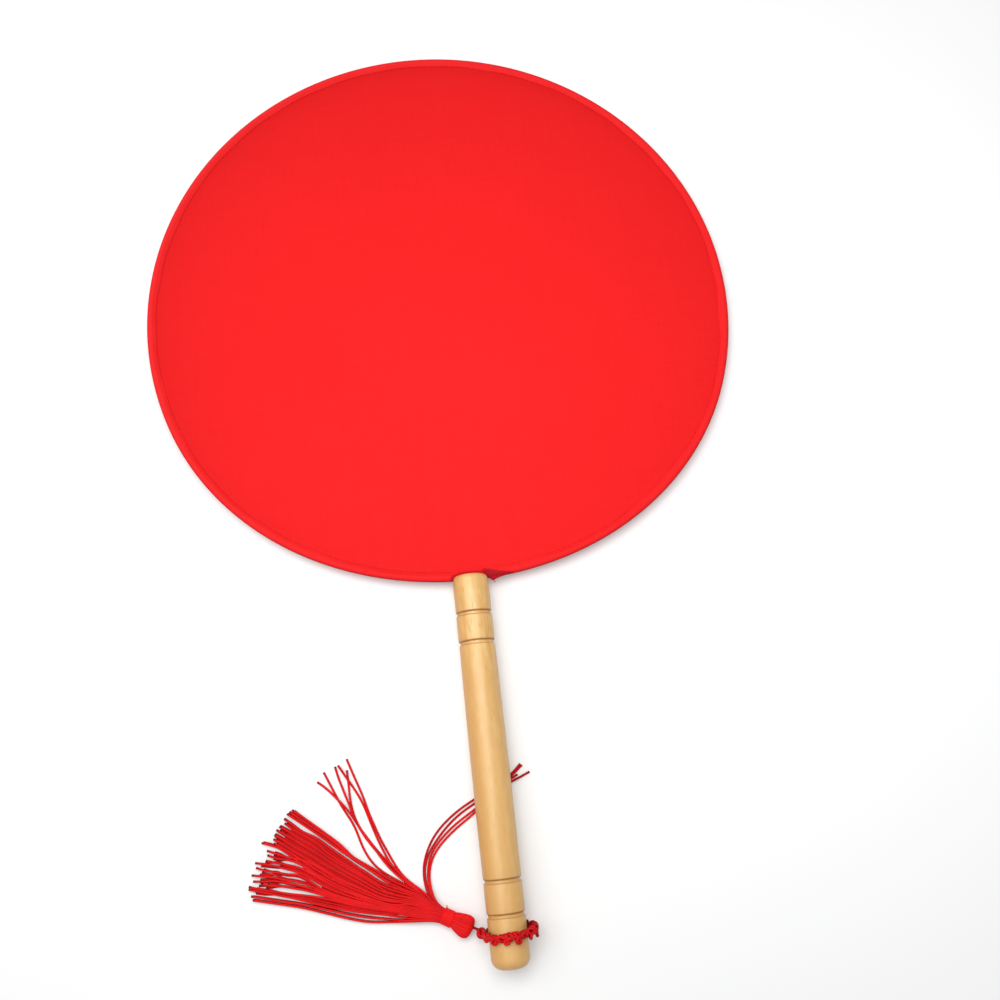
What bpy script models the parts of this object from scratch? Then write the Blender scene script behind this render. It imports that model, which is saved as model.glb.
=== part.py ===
"""A round cloth hand fan on a turned wooden handle, with a plaited cord collar and a tassel.

Metres, Z up. The fan lies as it was photographed: the far rim and the collar touch the table
at Z = 0, the handle points along -Y, and the tassel lies flat on the table to the left.
"""
import math

import bmesh
import bpy
from mathutils import Matrix, Vector

# Fits
CLEARANCE = 0.0003
CUTTER_MARGIN = 0.002
REST_GAP = 0.00002
MERGE_DISTANCE = 0.00001

# Disc: the outline is a circle that is drawn in towards the handle
DISC_RADIUS = 0.125
DRAWN_IN = 0.0062
DRAWN_IN_HALF_TURN = math.radians(70)
RIM_STEPS = 52

# Wire hoop in the rim
WIRE_DIAMETER = 0.002
WIRE_BEND_RADIUS = 0.003
WIRE_LEG_LENGTH = 0.019
WIRE_LEG_OFFSET = 0.0016
WIRE_BEND_STEPS = 5

# Cloth faces, which fold over the hoop and meet at a seam inside it
CLOTH_THICKNESS = 0.00035
FOLD_TURN = math.radians(135)
FOLD_STEPS = 5
NOTCH_SHARE = 0.93
NOTCH_COVER = 0.0001

# Handle: bands from the butt to the top, with a groove between each two
BUTT_BAND_LENGTH = 0.019
LOWER_BAND_LENGTH = 0.0123
SHAFT_LENGTH = 0.08995
UPPER_BAND_LENGTH = 0.01165
TOP_BAND_LENGTH = 0.0158
BUTT_DIAMETER = 0.0146
SHAFT_DIAMETER = 0.0149
SHAFT_TOP_DIAMETER = 0.0142
UPPER_BAND_DIAMETER = 0.0139
TOP_DIAMETER = 0.0138
GROOVE_DEPTH = 0.0006
GROOVE_FLOOR = 0.0005
GROOVE_SHOULDER = 0.0009
BUTT_ROUNDING = 0.0045
TOP_ROUNDING = 0.002
RIM_OVERLAP = 0.002
BORE_DIAMETER = 0.0072
BORE_DEPTH = 0.022
PLUG_LENGTH = 0.018
PLUG_RECESS = 0.0008
HANDLE_SIDES = 32
ROUNDING_STEPS = 4

# Plaited collar: one cord laid three times round in a flat plait, hanging askew on the handle
COLLAR_FROM_BUTT = 0.013
COLLAR_CORD_DIAMETER = 0.0011
COLLAR_RADIUS = 0.00942
PLAIT_SWING = 0.0016
PLAIT_RISE = 0.00095
PLAIT_TURNS = 3
PLAIT_WAVES = 11
PLAIT_POINTS = 132
COLLAR_TILT = math.radians(8)

# Hanging knot between the collar and the tassel
KNOT_CORD_DIAMETER = 0.00055
KNOT_RADIUS = 0.0012
KNOT_SWING = 0.0005
KNOT_POINTS = 42
KNOT_BELOW_LEVEL = math.radians(31.5)
KNOT_SINK = 0.0006

# Tassel head, neck and the cord through them
TASSEL_HEADING = math.radians(151.2)
HEAD_DIAMETER = 0.0068
HEAD_LENGTH = 0.0081
NECK_LENGTH = 0.0042
NECK_DIAMETER = 0.0055
NECK_WALL = 0.0004
TASSEL_CORD_DIAMETER = 0.0011
TASSEL_CORD_DEPTH = 0.0075
HEAD_SIDES = 20
# distance along the head, then radius, as shares of the head's length and its greatest radius
HEAD_SHARES = (
    (0.0, 0.42),
    (0.05, 0.62),
    (0.14, 0.82),
    (0.27, 0.96),
    (0.42, 1.0),
    (0.6, 0.97),
    (0.77, 0.88),
    (0.91, 0.75),
    (1.0, 0.64),
)

# Tassel skirt: flat layers of strands that spread on the table
SKIRT_HEADING = math.radians(155.2)
SKIRT_LENGTH = 0.072
SKIRT_TIP_HALF_WIDTH = 0.0168
SKIRT_ROOT_HALF_WIDTH = 0.002
STRAND_DIAMETER = 0.0008
STRANDS_PER_LAYER = 10
LAYER_OFFSET_SHARES = (0.0, 0.5, 0.25, 0.75)
WEB_THICKNESS = 0.0007
WEB_BORDER = 0.0003
# how far each edge has spread, as shares of the spread at the tips, at shares of the length
SPREAD_STATION_SHARES = (0.0, 0.15, 0.35, 0.6, 0.8, 1.0)
NEAR_SPREAD_SHARES = (0.0, 0.2, 0.33, 0.48, 0.68, 1.0)
FAR_SPREAD_SHARES = (0.0, 0.3, 0.56, 0.68, 0.8, 1.0)
WEB_STATION_SHARES = (0.0, 0.05, 0.1, 0.16)
STRAND_STATION_SHARES = (0.12, 0.19, 0.28, 0.4, 0.54, 0.7, 0.86, 1.0)
STRAND_WIDTH_SHARES = (0.55, 0.7, 0.85, 1.0, 1.0, 1.0, 1.0, 0.85)
# where the strands end, as shares of the length, at shares of the width from far to near side
TIP_ACROSS_SHARES = (-1.0, -0.86, -0.63, -0.4, -0.26, -0.05, 0.17, 0.24, 0.73, 1.0)
TIP_LENGTH_SHARES = (0.985, 1.017, 1.032, 1.026, 1.027, 0.978, 1.032, 0.999, 0.986, 0.952)

# Loose strands on the table: shares of the skirt's length to the near side of it and along it
LOOSE_STEPS = 12
LOOSE_LIFT_SHARE = 1.1
STRAY_ROUTE_SHARES = (
    ((0.091, 0.262), (0.149, 0.369), (0.187, 0.441), (0.225, 0.513), (0.272, 0.581),
     (0.323, 0.637), (0.349, 0.683), (0.384, 0.748), (0.402, 0.799), (0.427, 0.871)),
    ((0.111, 0.395), (0.148, 0.472), (0.186, 0.53), (0.228, 0.576), (0.27, 0.614),
     (0.314, 0.674), (0.356, 0.736), (0.395, 0.774), (0.44, 0.806), (0.486, 0.864)),
    ((0.168, 0.372), (0.199, 0.425), (0.235, 0.482), (0.284, 0.553), (0.338, 0.61),
     (0.388, 0.662), (0.428, 0.715), (0.487, 0.779), (0.532, 0.814)),
    ((0.112, 0.254), (0.164, 0.335), (0.205, 0.393), (0.256, 0.456), (0.313, 0.518),
     (0.36, 0.561), (0.412, 0.611), (0.458, 0.67), (0.492, 0.728), (0.545, 0.797)),
    ((0.29, 0.526), (0.334, 0.58), (0.378, 0.628), (0.425, 0.668), (0.479, 0.712),
     (0.537, 0.746)),
    ((0.131, 0.25), (0.182, 0.323), (0.221, 0.373), (0.265, 0.43), (0.318, 0.484),
     (0.375, 0.54), (0.432, 0.592), (0.484, 0.65), (0.542, 0.708), (0.59, 0.768)),
)
# where a stray lies over another: place across and along, then how far it lifts to either side
STRAY_HUMP_SHARES = {2: (0.39, 0.768, 0.1), 5: (0.484, 0.717, 0.11)}
UNDER_ROUTE_SHARES = (
    ((0.08, 0.116), (0.105, 0.141), (0.153, 0.166), (0.221, 0.184), (0.317, 0.189),
     (0.405, 0.173), (0.496, 0.132), (0.566, 0.082), (0.65, 0.012), (0.72, -0.05),
     (0.789, -0.105), (0.867, -0.139)),
    ((0.07, 0.09), (0.112, 0.12), (0.162, 0.145), (0.226, 0.159), (0.305, 0.158),
     (0.389, 0.14), (0.478, 0.103), (0.545, 0.057), (0.625, -0.012), (0.7, -0.078),
     (0.775, -0.132), (0.853, -0.164)),
    ((0.062, 0.061), (0.1, 0.092), (0.156, 0.12), (0.21, 0.132), (0.285, 0.131),
     (0.356, 0.117), (0.415, 0.089), (0.487, 0.046), (0.559, -0.01), (0.63, -0.066),
     (0.7, -0.118), (0.769, -0.161), (0.846, -0.21)),
    ((0.055, 0.036), (0.098, 0.067), (0.152, 0.096), (0.208, 0.107), (0.28, 0.107),
     (0.346, 0.094), (0.4, 0.067), (0.47, 0.024), (0.54, -0.033), (0.6, -0.084)),
)

HALF = 0.5
WIRE_RADIUS = WIRE_DIAMETER * HALF
FOLD_INNER_RADIUS = WIRE_RADIUS + CLEARANCE
FOLD_OUTER_RADIUS = FOLD_INNER_RADIUS + CLOTH_THICKNESS
LOW_RADIUS = DISC_RADIUS - DRAWN_IN
HANDLE_TOP = -LOW_RADIUS + RIM_OVERLAP
SLOT_FLOOR = -LOW_RADIUS - CLEARANCE
HANDLE_LENGTH = (
    BUTT_BAND_LENGTH + LOWER_BAND_LENGTH + SHAFT_LENGTH + UPPER_BAND_LENGTH + TOP_BAND_LENGTH
)
BUTT_END = HANDLE_TOP - HANDLE_LENGTH
COLLAR_PLACE = BUTT_END + COLLAR_FROM_BUTT
COLLAR_OUTER_RADIUS = COLLAR_RADIUS + PLAIT_RISE + COLLAR_CORD_DIAMETER * HALF
KNOT_OUTER_RADIUS = KNOT_RADIUS + KNOT_SWING + KNOT_CORD_DIAMETER * HALF
HEAD_START = KNOT_OUTER_RADIUS + CLEARANCE
NECK_START = HEAD_START + HEAD_LENGTH
NECK_END = NECK_START + NECK_LENGTH
STRAND_RADIUS = STRAND_DIAMETER * HALF
STRAND_PITCH = STRAND_DIAMETER + CLEARANCE
LAST_STRAND = STRANDS_PER_LAYER - 1 + LAYER_OFFSET_SHARES[-1]

RED_CLOTH = ((0.83, 0.024, 0.026), 0.55)
RED_CORD = ((0.66, 0.018, 0.024), 0.6)
PALE_WOOD = ((0.85, 0.55, 0.27), 0.35)
STEEL = ((0.55, 0.55, 0.57), 0.3)
GLUE = ((0.75, 0.66, 0.45), 0.5)


def between(stations, values, at):
    """Straight-line value at a place in a table."""
    for low in range(len(stations) - 2):
        if at <= stations[low + 1]:
            break
    else:
        low = len(stations) - 2
    share = (at - stations[low]) / (stations[low + 1] - stations[low])
    return values[low] + (values[low + 1] - values[low]) * share


def eased(share):
    """Smooth step from 0 to 1."""
    share = min(max(share, 0.0), 1.0)
    return share * share * (3 - 2 * share)


def smooth_route(points, steps):
    """Points at even steps along a smooth curve through the given ones."""
    padded = [points[0] * 2 - points[1], *points, points[-1] * 2 - points[-2]]
    fine = []
    for index in range(len(points) - 1):
        before, start, end, after = padded[index:index + 4]
        for step in range(steps):
            t = step / steps
            fine.append(
                (
                    start * 2
                    + (end - before) * t
                    + (before * 2 - start * 5 + end * 4 - after) * t ** 2
                    + (start * 3 - before - end * 3 + after) * t ** 3
                ) * HALF
            )
    fine.append(points[-1])
    travelled = [0.0]
    for a, b in zip(fine, fine[1:]):
        travelled.append(travelled[-1] + (b - a).length)
    return [
        Vector([between(travelled, [p[axis] for p in fine], travelled[-1] * step / steps)
                for axis in range(len(points[0]))])
        for step in range(steps + 1)
    ]


def material(name, look, metallic=0.0):
    """A plain material of one colour and roughness."""
    made = bpy.data.materials.new(name)
    made.use_nodes = True
    shader = made.node_tree.nodes["Principled BSDF"]
    shader.inputs["Base Color"].default_value = (*look[0], 1.0)
    shader.inputs["Roughness"].default_value = look[1]
    shader.inputs["Metallic"].default_value = metallic
    return made


def empty(name, parent, matrix):
    """A named frame that pieces are parented to."""
    frame = bpy.data.objects.new(name, None)
    bpy.context.collection.objects.link(frame)
    frame.parent = parent
    frame.matrix_local = matrix
    return frame


def add(name, data, parent, look, metallic=0.0, matrix=Matrix()):
    """Put a mesh or curve in the scene under its frame, with a material of its own."""
    made = bpy.data.objects.new(name, data)
    bpy.context.collection.objects.link(made)
    made.parent = parent
    made.matrix_local = matrix
    data.materials.append(material(name + "_material", look, metallic))
    return made


def solid(name, vertices, faces, parent, look, metallic=0.0, matrix=Matrix()):
    """A closed mesh from its corners and faces."""
    mesh = bpy.data.meshes.new(name)
    mesh.from_pydata(vertices, [], faces)
    shape = bmesh.new()
    shape.from_mesh(mesh)
    bmesh.ops.recalc_face_normals(shape, faces=shape.faces)
    shape.to_mesh(mesh)
    shape.free()
    return add(name, mesh, parent, look, metallic, matrix)


def turned(name, profile, sides, parent, look, matrix):
    """Spin a profile of (radius, height) points about local Z."""
    shape = bmesh.new()
    points = [shape.verts.new((radius, 0.0, height)) for radius, height in profile]
    edges = [shape.edges.new(pair) for pair in zip(points, points[1:])]
    if profile[0][0] or profile[-1][0]:
        edges.append(shape.edges.new((points[-1], points[0])))
    bmesh.ops.spin(
        shape, geom=points + edges, cent=(0, 0, 0), axis=(0, 0, 1),
        angle=math.tau, steps=sides, use_merge=True,
    )
    bmesh.ops.remove_doubles(shape, verts=shape.verts, dist=MERGE_DISTANCE)
    bmesh.ops.recalc_face_normals(shape, faces=shape.faces)
    mesh = bpy.data.meshes.new(name)
    shape.to_mesh(mesh)
    shape.free()
    made = add(name, mesh, parent, look, 0.0, matrix)
    mesh.shade_smooth()
    mesh.set_sharp_from_angle(angle=math.radians(40))
    return made


def tube(name, points, diameter, parent, look, closed=False, sides_level=1, metallic=0.0):
    """A round cord or wire through the given points."""
    data = bpy.data.curves.new(name, "CURVE")
    data.dimensions = "3D"
    data.bevel_depth = diameter * HALF
    data.bevel_resolution = sides_level
    data.use_fill_caps = True
    line = data.splines.new("POLY")
    line.points.add(len(points) - 1)
    for place, point in zip(line.points, points):
        place.co = (*point, 1.0)
    line.use_cyclic_u = closed
    return add(name, data, parent, look, metallic)


def block(name, low, high, parent):
    """A box used only as a cutter."""
    corners = [
        (x, y, z) for x in (low[0], high[0]) for y in (low[1], high[1]) for z in (low[2], high[2])
    ]
    faces = [(0, 1, 3, 2), (4, 6, 7, 5), (0, 4, 5, 1), (2, 3, 7, 6), (0, 2, 6, 4), (1, 5, 7, 3)]
    return hidden(solid(name, corners, faces, parent, STEEL))


def hidden(cutter):
    """Keep a cutter or joined piece out of the finished part."""
    cutter.hide_render = True
    cutter.display_type = "WIRE"
    return cutter


def combine(target, other, operation):
    """Cut another mesh from this one, or join it on."""
    change = target.modifiers.new(operation.lower(), "BOOLEAN")
    change.operation = operation
    change.solver = "EXACT"
    change.object = other


def rounding(radius, drop, start, way):
    """Quarter-round corner as (radius, height) points, from the end face to the side."""
    points = []
    for step in range(ROUNDING_STEPS + 1):
        turn = math.pi * HALF * step / ROUNDING_STEPS
        points.append(
            (radius - drop * (1 - math.sin(turn)), start + way * drop * (1 - math.cos(turn)))
        )
    return points


def groove(radius_below, radius_above, place):
    """A turned groove with soft shoulders, from its lower to its upper edge."""
    points = []
    shoulder_steps = ROUNDING_STEPS - 1
    for side, radius in ((-1, radius_below), (1, radius_above)):
        shoulder = []
        for step in range(shoulder_steps + 1):
            turn = math.pi * HALF * step / shoulder_steps
            inward = GROOVE_FLOOR * HALF + GROOVE_SHOULDER * (1 - math.sin(turn))
            shoulder.append(
                (radius - GROOVE_DEPTH * (1 - math.cos(turn)), place + side * inward)
            )
        points += shoulder if side < 0 else shoulder[::-1]
    return points


def rim_point(turn, inset, height=0.0):
    """A point inside the disc's outline, at a turn measured from the handle."""
    away = min(abs(turn), math.tau - abs(turn))
    drawn = 0.0
    if away < DRAWN_IN_HALF_TURN:
        drawn = DRAWN_IN * math.cos(math.pi * HALF * away / DRAWN_IN_HALF_TURN) ** 2
    radius = DISC_RADIUS - drawn - inset
    return Vector((radius * math.sin(turn), -radius * math.cos(turn), height))


def hoop_route():
    """The hoop's centre line: up one leg, round the rim and down the other."""
    low = rim_point(0.0, FOLD_OUTER_RADIUS)
    first = rim_point(math.tau / RIM_STEPS, FOLD_OUTER_RADIUS)
    start_x = WIRE_LEG_OFFSET + WIRE_BEND_RADIUS
    start = low.lerp(first, start_x / first.x)
    bend = [Vector((WIRE_LEG_OFFSET, start.y - WIRE_BEND_RADIUS - WIRE_LEG_LENGTH, 0.0))]
    for step in range(WIRE_BEND_STEPS + 1):
        turn = math.pi * HALF * (1 + (WIRE_BEND_STEPS - step) / WIRE_BEND_STEPS)
        bend.append(
            Vector((start_x + WIRE_BEND_RADIUS * math.cos(turn),
                    start.y - WIRE_BEND_RADIUS + WIRE_BEND_RADIUS * math.sin(turn), 0.0))
        )
    ring = [rim_point(math.tau * step / RIM_STEPS, FOLD_OUTER_RADIUS)
            for step in range(1, RIM_STEPS)]
    return bend + ring + [Vector((-p.x, p.y, p.z)) for p in reversed(bend)]


def cloth_section(radius, flat_height):
    """(inset from the outline, height) of one side of the cloth, from the rim edge inward."""
    first = math.asin(CLEARANCE * HALF / radius)
    points = []
    for step in range(FOLD_STEPS + 1):
        turn = first + (FOLD_TURN - first) * step / FOLD_STEPS
        points.append((FOLD_OUTER_RADIUS - radius * math.cos(turn), radius * math.sin(turn)))
    inset, height = points[-1]
    run = (height - flat_height) * -math.tan(FOLD_TURN)
    points.append((inset + run, flat_height))
    return points


def cloth(name, side, parent):
    """One face of the fan, folded over the hoop down to the rim's middle line."""
    outer = cloth_section(FOLD_OUTER_RADIUS, CLEARANCE * HALF + CLOTH_THICKNESS)
    inner = cloth_section(FOLD_INNER_RADIUS, CLEARANCE * HALF)
    vertices = []
    faces = []
    for ring in outer + inner:
        for step in range(RIM_STEPS):
            vertices.append(rim_point(math.tau * step / RIM_STEPS, ring[0], side * ring[1]))
    rings = len(outer)
    centres = [len(vertices), len(vertices) + 1]
    vertices.append(Vector((0.0, 0.0, side * outer[-1][1])))
    vertices.append(Vector((0.0, 0.0, side * inner[-1][1])))
    for step in range(RIM_STEPS):
        after = (step + 1) % RIM_STEPS
        for skin in range(2):
            base = skin * rings * RIM_STEPS
            for ring in range(rings - 1):
                low = base + ring * RIM_STEPS
                high = low + RIM_STEPS
                faces.append((low + step, low + after, high + after, high + step))
            last = base + (rings - 1) * RIM_STEPS
            faces.append((last + step, last + after, centres[skin]))
        under = rings * RIM_STEPS
        faces.append((step, after, under + after, under + step))
    made = solid(name, vertices, faces, parent, RED_CLOTH)
    reach = (WIRE_LEG_OFFSET + WIRE_BEND_RADIUS) * NOTCH_SHARE
    height = FOLD_OUTER_RADIUS + CUTTER_MARGIN
    cutter = block(
        name + "_notch",
        (-reach, -LOW_RADIUS - CUTTER_MARGIN, -height),
        (reach, HANDLE_TOP - NOTCH_COVER, height),
        parent,
    )
    combine(made, cutter, "DIFFERENCE")
    made.data.shade_smooth()
    made.data.set_sharp_from_angle(angle=math.radians(50))
    return made


def handle(parent):
    """The turned handle with its four grooves, the rim slot and the bore for the hoop's legs."""
    butt = BUTT_DIAMETER * HALF
    upper = UPPER_BAND_DIAMETER * HALF
    top = TOP_DIAMETER * HALF
    lower_groove = BUTT_BAND_LENGTH
    shaft_start = lower_groove + LOWER_BAND_LENGTH
    shaft_end = shaft_start + SHAFT_LENGTH
    upper_groove = shaft_end + UPPER_BAND_LENGTH
    profile = [(0.0, 0.0)]
    profile += rounding(butt, BUTT_ROUNDING, 0.0, 1)
    profile += groove(butt, butt, lower_groove)
    profile += groove(butt, butt, shaft_start)
    profile.append((SHAFT_DIAMETER * HALF, shaft_start + SHAFT_LENGTH * HALF))
    profile += groove(SHAFT_TOP_DIAMETER * HALF, upper, shaft_end)
    profile += groove(upper, top, upper_groove)
    profile += rounding(top, TOP_ROUNDING, HANDLE_LENGTH, -1)[::-1]
    bore = BORE_DIAMETER * HALF
    floor = SLOT_FLOOR - BORE_DEPTH - BUTT_END
    profile += [(bore, HANDLE_LENGTH), (bore, floor), (0.0, floor)]
    place = Matrix.Translation((0.0, BUTT_END, 0.0)) @ Matrix.Rotation(-math.pi * HALF, 4, "X")
    made = turned("handle", profile, HANDLE_SIDES, parent, PALE_WOOD, place)
    slot = FOLD_OUTER_RADIUS + CLEARANCE
    reach = top + CUTTER_MARGIN
    cutter = block(
        "handle_slot",
        (-reach, SLOT_FLOOR, -slot),
        (reach, HANDLE_TOP + CUTTER_MARGIN, slot),
        parent,
    )
    combine(made, cutter, "DIFFERENCE")
    return made


def glue_plug(parent):
    """The plug that holds both legs of the hoop in the handle's bore."""
    radius = BORE_DIAMETER * HALF - CLEARANCE
    hole = WIRE_RADIUS + CLEARANCE
    low = SLOT_FLOOR - PLUG_RECESS - PLUG_LENGTH
    turn = Matrix.Rotation(-math.pi * HALF, 4, "X")
    profile = [(0.0, 0.0), (radius, 0.0), (radius, PLUG_LENGTH), (0.0, PLUG_LENGTH)]
    made = turned(
        "glue_plug", profile, HEAD_SIDES, parent, GLUE, Matrix.Translation((0.0, low, 0.0)) @ turn
    )
    long_way = PLUG_LENGTH + CUTTER_MARGIN
    drill = [(0.0, -CUTTER_MARGIN), (hole, -CUTTER_MARGIN), (hole, long_way), (0.0, long_way)]
    for side in (-1, 1):
        cutter = turned(
            "plug_drill", drill, HEAD_SIDES, parent, GLUE,
            Matrix.Translation((side * WIRE_LEG_OFFSET, low, 0.0)) @ turn,
        )
        combine(made, hidden(cutter), "DIFFERENCE")
    return made


def plait_route():
    """The collar's cord: three times round, swinging from side to side as a flat plait."""
    points = []
    for step in range(PLAIT_POINTS):
        turn = math.tau * PLAIT_TURNS * step / PLAIT_POINTS
        wave = PLAIT_WAVES * turn / PLAIT_TURNS
        radius = COLLAR_RADIUS + PLAIT_RISE * math.sin(2 * wave)
        points.append(
            Vector((radius * math.cos(turn), PLAIT_SWING * math.sin(wave), radius * math.sin(turn)))
        )
    return points


def knot_route():
    """A small overhand knot pulled into a ball."""
    points = []
    for step in range(KNOT_POINTS):
        turn = math.tau * step / KNOT_POINTS
        radius = KNOT_RADIUS + KNOT_SWING * math.cos(3 * turn)
        points.append(
            Vector((radius * math.cos(2 * turn), KNOT_SWING * math.sin(3 * turn),
                    radius * math.sin(2 * turn)))
        )
    return points


def half_width(side, share):
    """How far the skirt's edge lies from its middle line, at a share of its length."""
    table = NEAR_SPREAD_SHARES if side > 0 else FAR_SPREAD_SHARES
    spread = between(SPREAD_STATION_SHARES, table, share)
    return SKIRT_ROOT_HALF_WIDTH + (SKIRT_TIP_HALF_WIDTH - SKIRT_ROOT_HALF_WIDTH) * spread


def rise(sideways):
    """Height that one strand needs over another which is this far to its side."""
    return math.sqrt(max(STRAND_PITCH ** 2 - sideways ** 2, 0.0))


def layer_height(layer, share, neck_height):
    """Height of a layer's middle: stacked at the neck, sinking between each other outward."""
    spacing = half_width(1, share) * 2 / LAST_STRAND
    step = rise(spacing * HALF)
    half_step = rise(spacing * HALF * HALF)
    table_height = STRAND_RADIUS + REST_GAP + (0.0, step, step + half_step,
                                               step + half_step + step)[layer]
    last = len(LAYER_OFFSET_SHARES) - 1
    root_height = neck_height + (layer - last * HALF) * STRAND_PITCH
    settled = eased(share / WEB_STATION_SHARES[-1])
    return root_height + (table_height - root_height) * settled


def skirt_point(across, share, height):
    """A point of the skirt: along local X, with the side nearer the handle at -Y."""
    return Vector((SKIRT_LENGTH * share, -across * half_width(across, share), height))


def skirt_layer(layer, neck_height, parent):
    """One layer: a thin web at the neck with its strands joined on."""
    name = "skirt_layer_%d" % (layer + 1)
    last = len(LAYER_OFFSET_SHARES) - 1
    from_middle = abs(layer - last * HALF) * STRAND_PITCH + WEB_THICKNESS * HALF
    bundle = NECK_DIAMETER * HALF - NECK_WALL
    chord = math.sqrt(bundle ** 2 - from_middle ** 2)
    vertices = []
    for number, share in enumerate(WEB_STATION_SHARES):
        middle = layer_height(layer, share, neck_height)
        for side in (-1, 1):
            width = chord if not number else half_width(side, share) + WEB_BORDER
            for up in (-1, 1):
                vertices.append(
                    Vector((SKIRT_LENGTH * share + (2 * CLEARANCE if not number else 0.0),
                            -side * width, middle + up * WEB_THICKNESS * HALF))
                )
    stations = len(WEB_STATION_SHARES)
    faces = [(0, 1, 3, 2), tuple(4 * (stations - 1) + corner for corner in (0, 2, 3, 1))]
    for station in range(stations - 1):
        base = 4 * station
        for a, b in ((0, 1), (1, 3), (3, 2), (2, 0)):
            faces.append((base + a, base + b, base + 4 + b, base + 4 + a))
    web = solid(name, vertices, faces, parent, RED_CORD)

    vertices = []
    faces = []
    for strand in range(STRANDS_PER_LAYER):
        across = (strand + LAYER_OFFSET_SHARES[layer]) / LAST_STRAND * 2 - 1
        reach = between(TIP_ACROSS_SHARES, TIP_LENGTH_SHARES, across)
        base = len(vertices)
        for number, (share, width) in enumerate(zip(STRAND_STATION_SHARES, STRAND_WIDTH_SHARES)):
            middle = skirt_point(across, share, layer_height(layer, share, neck_height))
            if share > HALF:
                middle.x += SKIRT_LENGTH * (reach - 1) * (share - HALF) / HALF
            radius = STRAND_RADIUS * width
            for y, z in ((radius, 0.0), (0.0, radius), (-radius, 0.0), (0.0, -radius)):
                vertices.append(middle + Vector((0.0, y, z)))
        stations = len(STRAND_STATION_SHARES)
        faces.append(tuple(base + corner for corner in range(4)))
        faces.append(tuple(base + 4 * (stations - 1) + corner for corner in range(3, -1, -1)))
        for station in range(stations - 1):
            low = base + 4 * station
            for corner in range(4):
                after = (corner + 1) % 4
                faces.append((low + corner, low + after, low + 4 + after, low + 4 + corner))
    strands = solid(name + "_strands", vertices, faces, parent, RED_CORD)
    combine(web, hidden(strands), "UNION")
    return web


def loose_strand(name, route, hump, parent):
    """A single strand on the table, lifted where it crosses another."""
    points = smooth_route(
        [Vector((along * SKIRT_LENGTH, -near * SKIRT_LENGTH)) for near, along in route],
        LOOSE_STEPS,
    )
    placed = []
    for point in points:
        height = STRAND_RADIUS + REST_GAP
        if hump:
            middle = Vector((hump[1] * SKIRT_LENGTH, -hump[0] * SKIRT_LENGTH))
            away = (point - middle).length / (hump[2] * SKIRT_LENGTH)
            height += LOOSE_LIFT_SHARE * STRAND_PITCH * eased(2 * (1 - away))
        placed.append(Vector((point.x, point.y, height)))
    return tube(name, placed, STRAND_DIAMETER, parent, RED_CORD, sides_level=2)


def collar_reach(lean, points):
    """How far the collar reaches below the handle's axis, square to the table."""
    tilt = Matrix.Rotation(COLLAR_TILT, 3, "X")
    lowest = 0.0
    for point in points:
        moved = tilt @ point
        lowest = max(lowest, -moved.z * math.cos(lean) + moved.y * math.sin(lean))
    return lowest + COLLAR_CORD_DIAMETER * HALF


def resting_lean(points):
    """Lean at which the far rim and the collar both touch the table."""
    far_rim = DISC_RADIUS - FOLD_OUTER_RADIUS
    lean = 0.0
    for _ in range(4):
        drop = collar_reach(lean, points) - FOLD_OUTER_RADIUS
        lean = math.asin(drop / (far_rim - COLLAR_PLACE))
    return lean


def clear_scene():
    """Take away whatever the new file holds."""
    for item in list(bpy.data.objects):
        bpy.data.objects.remove(item, do_unlink=True)


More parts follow.
